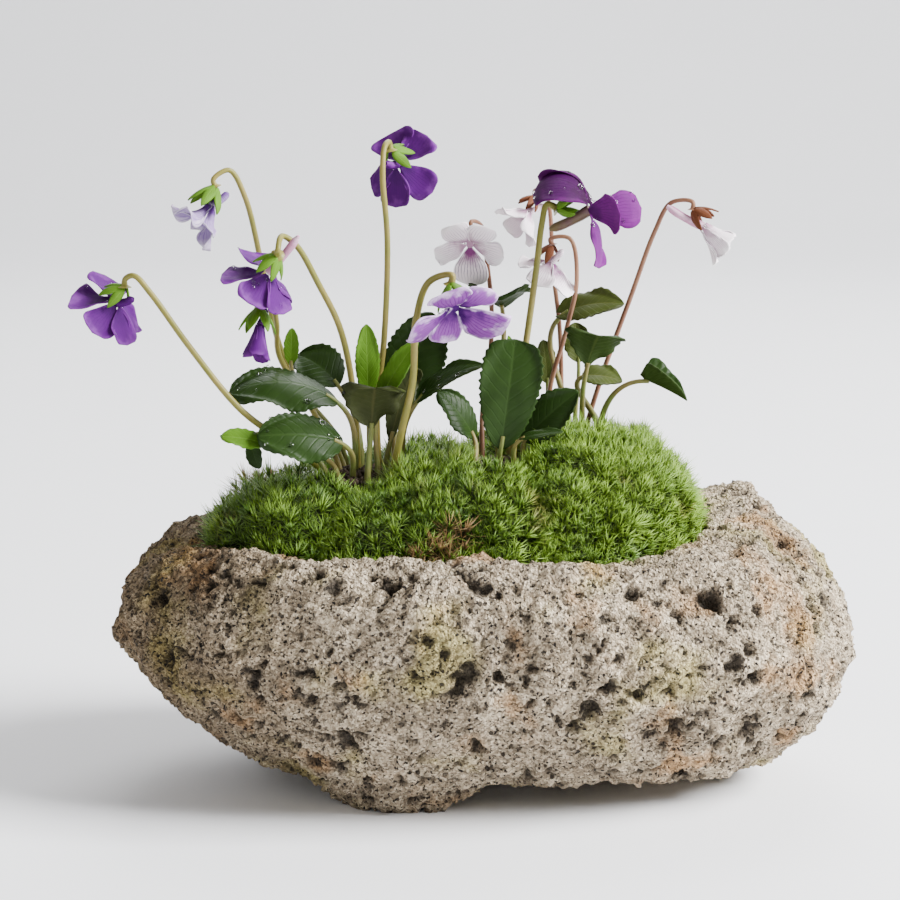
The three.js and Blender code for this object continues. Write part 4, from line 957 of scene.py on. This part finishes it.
def petal_surface(turn, start, end, long, wide, root, claw, cup, ripple, seed, rise=0.85, close=0.36):
    """A petal in the flower's own frame, whose z axis is the way it faces and whose y axis is up."""
    turn, start, bend = math.radians(turn), math.radians(start), math.radians(end - start)
    out = np.array([math.cos(turn), math.sin(turn), 0])
    side = np.array([-out[1], out[0], 0])

    def place(u, v):
        angle = start + bend * u
        middle = root - long / bend * (np.cos(angle) - math.cos(start))
        half = np.maximum(wide / 2 * swell(u, rise, close), np.where(u < 0.6, claw, 0.05))
        half = np.minimum(half, FLOWER["crowding"] * middle)
        ruffle = 0.6 * ripple * np.abs(v) ** 3 * np.sin(9 * u * np.sign(v) + 5 * v + seed)
        wave = ripple * v * v * np.sin(np.pi * (1.7 * u + 0.8 * v) + seed) * u + ruffle
        back = (wave - cup * half * v * v) * np.clip(half, 0, 1)
        radius = middle + back * np.cos(angle)
        height = long / bend * (np.sin(angle) - math.sin(start)) - back * np.sin(angle)
        return out * radius[:, None] + side * (v * half)[:, None] + np.array([0, 0, 1]) * height[:, None]

    return place


# The pieces


class Planter(bpy.types.Operator):
    bl_options = {"REGISTER", "UNDO"}


class PLANTER_OT_stage(Planter):
    """A pale floor that sweeps up behind, soft lights and the camera"""

    bl_idname = "planter.stage"
    bl_label = "Stage"

    def execute(self, context):
        look = context.scene.planter_stage
        bpy.ops.object.select_all(action="DESELECT")
        bpy.ops.mesh.primitive_grid_add(x_subdivisions=2, y_subdivisions=60, size=1)
        floor = context.object
        floor.name = "pale_floor"
        flat = mesh_points(floor)
        along = (flat[:, 1] + 0.5) * 6.0 - 2.5
        level, upright, radius = 1.2, 2.1, 0.573
        bend = np.clip((along - level) / 0.9, 0, 1) * math.pi / 2
        y = np.where(along < level, along, level + radius * np.sin(bend))
        z = np.where(along < level, 0, radius * (1 - np.cos(bend)) + np.maximum(0, along - upright))
        set_points(floor, np.stack([flat[:, 0] * 8.0, y, z], axis=1))
        floor.data.materials.append(floor_material(look.floor))
        bpy.ops.object.shade_smooth()

        target = Vector(planter_points(CAMERA_TARGET))
        for name, power, size, place in (
            ("key", look.key, 0.7, (1.18, -0.28, 0.92)),
            ("fill", look.fill, 1.2, (-0.7, -1.0, 0.45)),
            ("back", look.back, 0.8, (0.15, 0.9, 1.0)),
        ):
            bpy.ops.object.light_add(type="AREA", location=place)
            light = context.object
            light.name = f"{name}_light"
            light.data.energy = power
            light.data.size = size
            light.rotation_euler = (target - Vector(place)).to_track_quat("-Z", "Y").to_euler()

        world = context.scene.world or bpy.data.worlds.new("studio")
        context.scene.world = world
        world.use_nodes = True
        background = next(node for node in world.node_tree.nodes if node.type == "BACKGROUND")
        background.inputs["Color"].default_value = (0.92, 0.89, 0.85, 1)
        background.inputs["Strength"].default_value = 0.46

        back = CAMERA_DISTANCE * math.cos(CAMERA_ELEVATION)
        rise = CAMERA_DISTANCE * math.sin(CAMERA_ELEVATION)
        place = target + Vector((0, -back, rise))
        bpy.ops.object.camera_add(location=place)
        camera = context.object
        camera.rotation_euler = (target - place).to_track_quat("-Z", "Y").to_euler()
        camera.data.lens = LENS
        camera.data.sensor_width = 36
        camera.data.clip_start = 0.01
        context.scene.camera = camera
        return {"FINISHED"}


class PLANTER_OT_stone_bowl(Planter):
    """The bowl of rough volcanic stone, with its lumps, grains and pits"""

    bl_idname = "planter.stone_bowl"
    bl_label = "Stone Bowl"

    def execute(self, context):
        look = context.scene.planter_stone
        bowl = copy_of_node("stone_pot", "rough_stone_bowl")
        apply_modifier(bowl, "REMESH", mode="VOXEL", voxel_size=look.grain, use_smooth_shade=True)
        points = mesh_points(bowl)
        normals = mesh_normals(bowl)
        swayed, grain = relief(points / MM)
        draws = np.random.default_rng(17).uniform(size=(24, 24, 24, 5))
        pits = np.zeros(len(points))
        for pit in PITS:
            pits = np.maximum(pits, pit_depths(swayed, draws, *pit))
        moved = look.roughness / MM * grain - look.pit_depth * pits
        ground = points[:, 2] < GROUND * MM
        moved[ground] = np.minimum(moved[ground], 0)
        points += normals * moved[:, None] * MM
        points[:, 2] = np.where(ground & (pits < 0.2), 0, np.maximum(points[:, 2], 0))
        set_points(bowl, points)
        # The pit attribute, which the stone's material darkens as painted shade in the pits
        shade = np.clip(pits / 0.9, 0, 1).astype(np.float32)
        bowl.data.attributes.new("pit", "FLOAT", "POINT").data.foreach_set("value", shade)
        bowl.data.materials.append(stone_material(look))
        finish_piece(bowl, "stone", "stone_pot")
        return {"FINISHED"}


def relief(points):
    """Points in millimetres, swayed to and fro, and the height there of grains, crumbs and lumps."""
    noise.seed_set(17)
    swayed, grain = points.copy(), np.empty(len(points))
    for i, point in enumerate(points):
        p = Vector(point)
        swayed[i] += 1.6 * noise.noise_vector(p / 3.4) + 0.9 * noise.noise_vector(p / 1.5)
        q = Vector(swayed[i])
        crumbs = abs(noise.noise(q / 2.1)) + 1.1 * abs(noise.noise(q / 4.4 + Vector((3, 1, 7))))
        grain[i] = 0.7 * noise.noise(p / 1.5) + 1.5 * crumbs + 1.2 * noise.noise(p / 9) - 0.7
    return swayed, grain


def pit_depths(points, draws, cell, share, low, high):
    """Depth at each point of steep round pits, up to one in a cell of space, of radius low to high."""
    depths, home = np.zeros(len(points)), np.floor(points / cell).astype(int)
    for step in itertools.product((-1, 0, 1), repeat=3):
        index = home + step
        draw = draws[tuple((index % len(draws)).T)]
        radius = np.where(draw[:, 3] < share, low + (high - low) * draw[:, 4] ** 2, 0.01)
        far = np.linalg.norm(points - (index + draw[:, :3]) * cell, axis=1) / radius
        t = np.clip((1.15 - far) / 0.6, 0, 1)
        depths = np.maximum(depths, radius * t * t * (3 - 2 * t))
    return depths


class PLANTER_OT_soil_bed(Planter):
    """The soil with its crumbs, and the net over the drain hole"""

    bl_idname = "planter.soil_bed"
    bl_label = "Soil Bed"

    def execute(self, context):
        material = soil_material()
        for name, finish in (("soil", material), ("drain_mesh", net_material())):
            node = frame["nodes"][name]
            node.data.materials.clear()
            node.data.materials.append(finish)
        rng = np.random.default_rng(5)
        shape, triangles = ball(1)
        crumbs = []
        for x, y, z, radius in (*CROWNS.values(), BARE_SOIL):
            for _ in range(int(CRUMBS_PER_AREA * radius**2)):
                turn, out = rng.uniform(0, 2 * math.pi), radius * math.sqrt(rng.uniform(0, 1))
                height = z - CROWN_FALL * (out / radius) ** 3
                middle = (x + out * math.cos(turn), y + out * math.sin(turn), height)
                size = rng.uniform(0.3, 0.95)
                crumbs.append(planter_points(shape * rng.uniform(0.6, 1.3, shape.shape) * size + middle))
        finish_piece(scattered("soil_crumbs", crumbs, triangles, material), "soil")
        return {"FINISHED"}


class PLANTER_OT_leaves(Planter):
    """The leaves, each with its own stalk"""

    bl_idname = "planter.leaves"
    bl_label = "Leaves"

    def execute(self, context):
        look = context.scene.planter_leaves
        finishes = {}
        for shade, (vein, roughness, *underside) in LEAF_SIDES.items():
            upper = leaf_material(f"{shade} leaf", getattr(look, shade), vein, roughness)
            finishes[f"leaf_{shade}"] = upper, leaf_material(f"{shade} leaf underside", *underside)
        stalks = stalk_material("leaf stalk", (0.16, 0.2, 0.05), (0.22, 0.17, 0.06))
        for name, given in LEAVES.items():
            spec = {**LEAF, **given}
            place, forward, face, stalk, span = leaf_surface(spec)
            finish = spec["finish"]
            columns, rows = (18, 40) if spec["width"] > 6.5 else (10, 24)
            sheet = grid_sheet(columns, rows, place, finishes[finish])
            rim = dict(material_offset=1, material_offset_rim=1)
            apply_modifier(sheet, "SOLIDIFY", thickness=look.thickness, offset=0, **rim)
            path = leaf_stalk(name.split("_")[0], spec, forward, face, span)
            radii = np.linspace(stalk * 1.1, stalk * 0.7, len(path))
            finish_piece(join(f"{name}_blade", [sheet, tube(path, radii, stalks)]), finish, name)
        return {"FINISHED"}


class PLANTER_OT_flowers(Planter):
    """The violets: petals with their spur, and stalks with their sepals"""

    bl_idname = "planter.flowers"
    bl_label = "Flowers"

    def execute(self, context):
        look = context.scene.planter_flowers
        looks = {
            "violet petal": (
                (0.03, 0.002, 0.06), look.violet, (0.15, 0.02, 0.23), (0.025, 0.002, 0.05), 0.55,
            ),
            "violet petal back": (
                (0.05, 0.007, 0.09), look.violet, (0.15, 0.03, 0.23), (0.035, 0.004, 0.08), 0.4,
            ),
            "lilac petal": ((0.035, 0.002, 0.08), look.lilac, (0.70, 0.52, 0.80), (0.07, 0.006, 0.14), 0.85),
            "withered petal": ((0.1, 0.03, 0.2), look.withered, (0.56, 0.5, 0.62), (0.09, 0.02, 0.2), 0.7),
            "pink petal": ((0.45, 0.27, 0.37), look.pink, (0.95, 0.91, 0.93), (0.22, 0.04, 0.24), 0.6),
            "veined pale petal": ((0.2, 0.05, 0.16), look.pink, (0.95, 0.91, 0.93), (0.1, 0.01, 0.13), 0.95),
            "magenta petal": (
                (0.05, 0.003, 0.07), (0.10, 0.005, 0.12), (0.14, 0.012, 0.16), (0.04, 0.002, 0.055), 0.6,
            ),
            "dark petal": (
                (0.02, 0.002, 0.02), (0.04, 0.002, 0.05), (0.075, 0.004, 0.085), (0.02, 0.001, 0.03), 0.5,
            ),
            "pink spur": ((0.50, 0.20, 0.36), (0.56, 0.27, 0.42), (0.7, 0.5, 0.6), (0.4, 0.12, 0.3), 0.2),
        }
        petals = {name: petal_material(name, *given) for name, given in looks.items()}
        spurs = {
            "violet_3": petals["pink spur"],
            "pale_violet_4": petals["pink spur"],
            "violet_7": stalk_material("olive spur", (0.14, 0.10, 0.045), (0.10, 0.03, 0.08)),
        }
        stalks = {
            "green": stalk_material("green stalk", look.stalk, (0.26, 0.21, 0.055)),
            "red": stalk_material("red stalk", look.red_stalk, (0.27, 0.14, 0.08)),
        }
        sepals = {
            "green": leaf_material("green sepal", look.sepal, (0.20, 0.32, 0.05), 0.4),
            "red": leaf_material("red sepal", (0.12, 0.04, 0.018), (0.22, 0.10, 0.04), 0.4),
        }
        for number, (name, flower) in enumerate(FLOWERS.items()):
            kind = "red" if flower["finish"] == "petal_pink" else "green"
            sides = self.petal_sides(name, flower["finish"].split("_")[1], petals)
            self.bloom(name, flower, sides, spurs.get(name, sides[0][1]), look.thickness, number)
            self.stalk(name, flower, stalks[kind], sepals[kind], f"stalk_{kind}")
        return {"FINISHED"}

    def petal_sides(self, name, shade, petals):
        """The materials on the front and on the back of each of a flower's five petals."""
        if name == "violet_7":
            shades = ("magenta", "dark", "dark", "magenta", "magenta")
            return [(petals[f"{shade} petal"],) * 2 for shade in shades]
        front, lip = petals[f"{shade} petal"], petals["veined pale petal"]
        if shade == "pink":
            return [(front, front)] * 4 + [(lip, lip)]
        return [(front, petals.get(f"{shade} petal back", front))] * 5

    def bloom(self, name, flower, sides, spur_material, thickness, number):
        scale, into_planter = flower["scale"], flower_frame(flower)
        size, cup, ripple = scale * FLOWER["petal"], CUP.get(name, USUAL_CUP), flower.get("ripple", 0.65)
        sheets = []
        for i, (turn, start, end, long, wide) in enumerate(PETALS[name]):
            surface = petal_surface(
                turn, start, end, long * size, wide * size, scale * FLOWER["root"],
                scale * FLOWER["claw"], cup, ripple, 2.1 * i + 1.3 * number,
            )
            layer = np.array([0, 0, PETAL_GAP * (i % 2)])

            def place(u, v, surface=surface, layer=layer):
                return into_planter(surface(u, v) + layer)

            sheets.append(grid_sheet(16, 18, place, sides[i]))
            apply_modifier(sheets[-1], "SOLIDIFY", thickness=thickness, offset=0, material_offset=1)
        petals = join(f"{name}_corolla", sheets)
        spur = behind_throat(FLOWER["spur"], flower, flower.get("spur", 1))
        sag = behind_throat((0, -1.6, 0), flower, 1)
        t = np.linspace(0, 1, 9)[:, None]
        path = into_planter(np.array([0, 0, 0.2]) * (1 - t) + spur * t + sag * t * (1 - t))
        radii = scale * FLOWER["spur_radius"] * np.array([0.95, 1, 0.95, 0.88, 0.85, 0.86, 0.88, 0.8, 0.35])
        spur = tube(path, radii, spur_material)
        finish_piece(join(f"{name}_corolla", [petals, spur]), flower["finish"], f"{name}_petals")

    def stalk(self, name, flower, material, sepal_material, slot):
        scale, into_planter = flower["scale"], flower_frame(flower)
        size = scale * flower.get("calyx", 1)
        neck, roll = flower.get("neck", 1), flower.get("roll", 0)
        middle = behind_throat(FLOWER["calyx"], flower, neck)
        sheets = []
        for i, turn in enumerate(FLOWER["sepal_turns"]):
            surface = petal_surface(
                turn + roll, *SEPAL_ANGLES, size * FLOWER["sepal_length"], size * FLOWER["sepal_width"],
                scale * FLOWER["calyx_root"], 0.4 * scale, 0.3, 0.12, i, rise=0.5, close=0.8,
            )

            def place(u, v, surface=surface):
                return into_planter(surface(u, v) + middle)

            sheets.append(grid_sheet(6, 10, place, (sepal_material,)))
        sepals = join(f"{name}_sepals", sheets)
        apply_modifier(sepals, "SOLIDIFY", thickness=0.3 * MM, offset=0)
        start = foot_of(flower["crown"], flower["foot"])
        hook = into_planter([behind_throat(FLOWER["hook"], flower, neck)])[0]
        centre = into_planter([middle])[0]
        points = [start - [0, 0, ROOT_DEPTH], start, *np.array(flower["path"], float), hook, centre]
        path = smooth_path(points, 60)
        taper = np.interp(np.linspace(0, 1, len(path)), [0, 0.2, 0.9, 0.97, 1], [1.1, 1, 0.85, 1, 2.2])
        scape = tube(path, flower["radius"] * taper, material)
        finish_piece(join(f"{name}_scape", [scape, sepals]), slot, f"{name}_stalk")


def needle_points(root, direction, radial, up, side, long, half):
    """The five points of each needle: its root, the sides and keel where it is widest, and its tip."""
    middle = root + direction * (WIDEST * long)[..., None]
    curved = unit(direction + 0.22 * radial - 0.05 * up)
    tip = middle + curved * (0.55 * long)[..., None]
    across = np.cross(direction, radial)
    clear = np.linalg.norm(across, axis=-1, keepdims=True) > 1e-6
    across = unit(np.where(clear, across, side[:, None]))
    keel = np.cross(across, direction)
    points = [root, middle + half * across, middle - half * across, middle + 0.35 * half * keel, tip]
    return np.stack(points, axis=2)


def turned_out(points, faces):
    """The faces of a closed shape, turned to look outwards."""
    points = points - points[0]
    volume = sum(np.dot(points[i], np.cross(points[j], points[k])) for i, j, k in faces)
    return faces[:, ::-1] if volume < 0 else faces


class PLANTER_OT_moss(Planter):
    """The cushions of moss, shoot by shoot"""

    bl_idname = "planter.moss"
    bl_label = "Moss"

    def execute(self, context):
        look = context.scene.planter_moss
        noise.seed_set(31)
        leaves, mat = moss_material(look), mat_material()
        for seed, name in enumerate(CUSHIONS):
            rng = np.random.default_rng(31 + seed)
            self.mat(name, mat)
            self.shoots(name, look, leaves, rng)
        return {"FINISHED"}

    def mat(self, name, material):
        """The matter under the shoots, near-black as painted shade between them: the cushion's solid, drawn
        in under its surface.
        """
        piece = copy_of_node(name, f"{name}_mat")
        apply_modifier(piece, "SMOOTH", factor=0.5, iterations=2)
        points = mesh_points(piece)
        normals = mesh_normals(piece)
        points -= MAT_DEPTH * MM * normals * (normals[:, 2:] > 0.1)
        set_points(piece, points)
        piece.data.materials.append(material)
        finish_piece(piece, "moss", name)

    def sites(self, name, spacing, rng):
        """Places spread over the upper side of a cushion, no two nearer than the spacing."""
        surface = copy_of_node(name, "surface")
        mesh = surface.data
        mesh.calc_loop_triangles()
        corners = np.array([t.vertices[:] for t in mesh.loop_triangles])
        a, b, c = (mesh_points(surface)[corners[:, i]] for i in range(3))
        bpy.data.objects.remove(surface)
        cross = np.cross(b - a, c - a)
        area = np.linalg.norm(cross, axis=1) / 2
        upward = cross[:, 2] / np.maximum(2 * area, 1e-15) > -0.05
        weight = np.where(upward, area, 0)
        count = int(TRIES * weight.sum() / spacing**2)
        chosen = rng.choice(len(area), count, p=weight / weight.sum())
        r, s = np.sqrt(rng.uniform(size=(count, 1))), rng.uniform(size=(count, 1))
        spots = (1 - r) * a[chosen] + r * (1 - s) * b[chosen] + r * s * c[chosen]
        cells, kept = {}, []
        for spot in spots:
            cell = tuple((spot // spacing).astype(int).tolist())
            blocks = itertools.product(*(range(i - 1, i + 2) for i in cell))
            near = (other for block in blocks for other in cells.get(block, ()))
            if all(np.dot(spot - other, spot - other) > spacing**2 for other in near):
                cells.setdefault(cell, []).append(spot)
                kept.append(spot)
        return np.array(kept)

    def shoots(self, name, look, material, rng):
        """A cushion's shoots, their needles set around an axis in a spiral and closer to it at its tip."""
        habit = CUSHIONS[name]
        sites = self.sites(name, look.spacing * habit["spacing"], rng)
        low, high = (np.array(corner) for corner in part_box(name))
        centre = np.array([(low[0] + high[0]) / 2, (low[1] + high[1]) / 2, high[2] - SHOOT_ORIGIN])
        comb = np.array([noise.noise_vector(Vector(site) / (13 * MM)) for site in sites])
        clump = np.array([noise.noise(Vector(site) / (8 * MM)) for site in sites])[:, None]
        axis = unit(sites - centre) + 0.35 * np.array([0, 0, 1]) + rng.normal(0, 0.2, sites.shape)
        axis = unit(axis + habit["sway"] * comb)
        side = unit(np.cross(axis, rng.normal(size=sites.shape)))
        third = np.cross(axis, side)
        count, needles = len(sites), look.leaves
        size = rng.uniform(0.72, 1.22, (count, 1)) * (1 + 0.4 * clump)
        t = np.linspace(0, 1, needles)[None, :]
        turn = GOLDEN_ANGLE * np.arange(needles)[None, :] + rng.uniform(0, 6.3, (count, 1))
        turn = turn + rng.normal(0, 0.25, (count, needles))
        lean = np.radians(78 - 66 * t**0.8 + rng.normal(0, 8, (count, needles)))
        taper = 1.05 - 0.35 * t
        long = look.leaf_length * habit["needles"] * size * taper * rng.uniform(0.75, 1.2, (count, needles))
        radial = np.cos(turn)[..., None] * side[:, None] + np.sin(turn)[..., None] * third[:, None]
        up = np.broadcast_to(axis[:, None], radial.shape)
        direction = np.cos(lean)[..., None] * up + np.sin(lean)[..., None] * radial
        root = sites[:, None] + up * ((-2.2 + 2.4 * t) * MM * size)[..., None]
        points = needle_points(root, direction, radial, up, side, long, look.leaf_width / 2)
        faces = turned_out(points[0, 0], NEEDLE_FACES)
        triangles = (5 * np.arange(count * needles)[:, None, None] + faces[None]).reshape(-1, 3)
        tint = self.freshness(sites, clump, habit["fresh"], needles, rng)
        along = np.broadcast_to(np.array([0, WIDEST, WIDEST, WIDEST, 1]), (count, needles, 5))
        tints = np.stack([np.broadcast_to(tint[..., None], along.shape), along], axis=-1).reshape(-1, 2)
        piece = mesh_piece(f"{name}_shoots", points.reshape(-1, 3), triangles, material, tints)
        finish_piece(piece, "moss", name)

    def freshness(self, sites, clump, fresh, needles, rng):
        """How fresh each needle is, from 0 to 1, or -1 where it is dry."""
        count = len(sites)
        tint = 0.7 * rng.uniform(0, 1, (count, 1)) + rng.uniform(0, 0.3, (count, needles))
        tint = np.clip(tint + 0.5 * clump + fresh, 0, 1)
        for *spot, radius in DRY_SPOTS:
            far = np.linalg.norm(sites - planter_points(spot), axis=1)
            near = far < radius * MM * rng.uniform(0.5, 1.3, count)
            dry = rng.uniform(size=(near.sum(), needles)) < DRY_SHARE
            tint[near] = np.where(dry, -1, tint[near])
        return tint


class PLANTER_OT_water_drops(Planter):
    """Drops of water that rest on the leaves and petals"""

    bl_idname = "planter.water_drops"
    bl_label = "Water Drops"

    def execute(self, context):
        rng = np.random.default_rng(3)
        shape, triangles = ball(2)
        drops = []
        for name, count in WETTED.items():
            mesh = bpy.data.objects[name].data
            polygons = [p for p in mesh.polygons if p.normal.z > 0.25 and p.area > 0.02 * MM * MM]
            for pick in rng.choice(len(polygons), count, replace=False):
                polygon = polygons[pick]
                normal = np.array(polygon.normal)
                side = unit(np.cross(normal, [0.3, 0.9, 0.1]))
                size = rng.choice([0.35, 0.5, 0.75], p=[0.5, 0.35, 0.15]) * MM
                axes = np.array([side, np.cross(normal, side), 0.6 * normal])
                drops.append(shape @ axes * size + np.array(polygon.center) + 0.4 * size * normal)
        finish_piece(scattered("water_drops", drops, triangles, water_material()), "leaf_dark")
        return {"FINISHED"}


PIECES = (
    PLANTER_OT_stage,
    PLANTER_OT_stone_bowl,
    PLANTER_OT_soil_bed,
    PLANTER_OT_leaves,
    PLANTER_OT_flowers,
    PLANTER_OT_water_drops,
    PLANTER_OT_moss,
)
GROUPS = {
    "planter_stone": PlanterStone,
    "planter_moss": PlanterMoss,
    "planter_leaves": PlanterLeaves,
    "planter_flowers": PlanterFlowers,
    "planter_stage": PlanterStage,
}


class PLANTER_PT_panel(bpy.types.Panel):
    bl_idname = "PLANTER_PT_panel"
    bl_label = "Potted Viola Planter"
    bl_space_type = "VIEW_3D"
    bl_region_type = "UI"
    bl_category = "Planter"

    def draw(self, context):
        for piece in PIECES:
            self.layout.operator(piece.bl_idname)
        for name, group in GROUPS.items():
            box = self.layout.box()
            for key in group.__annotations__:
                box.prop(getattr(context.scene, name), key)


def register():
    for group in GROUPS.values():
        bpy.utils.register_class(group)
    for piece in (*PIECES, PLANTER_PT_panel):
        bpy.utils.register_class(piece)
    for name, group in GROUPS.items():
        setattr(bpy.types.Scene, name, PointerProperty(type=group))


def unregister():
    for name in GROUPS:
        delattr(bpy.types.Scene, name)
    for piece in reversed((*GROUPS.values(), *PIECES, PLANTER_PT_panel)):
        bpy.utils.unregister_class(piece)


def main():
    register()
    for make_effect in (make_patches, make_fan_veins, make_leaf_veins):
        make_effect()
    bpy.ops.planter.stage()
    bpy.ops.planter.stone_bowl()
    bpy.ops.planter.soil_bed()
    bpy.ops.planter.leaves()
    bpy.ops.planter.flowers()
    bpy.ops.planter.water_drops()
    bpy.ops.planter.moss()
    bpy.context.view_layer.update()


if __name__ == "__main__":
    main()
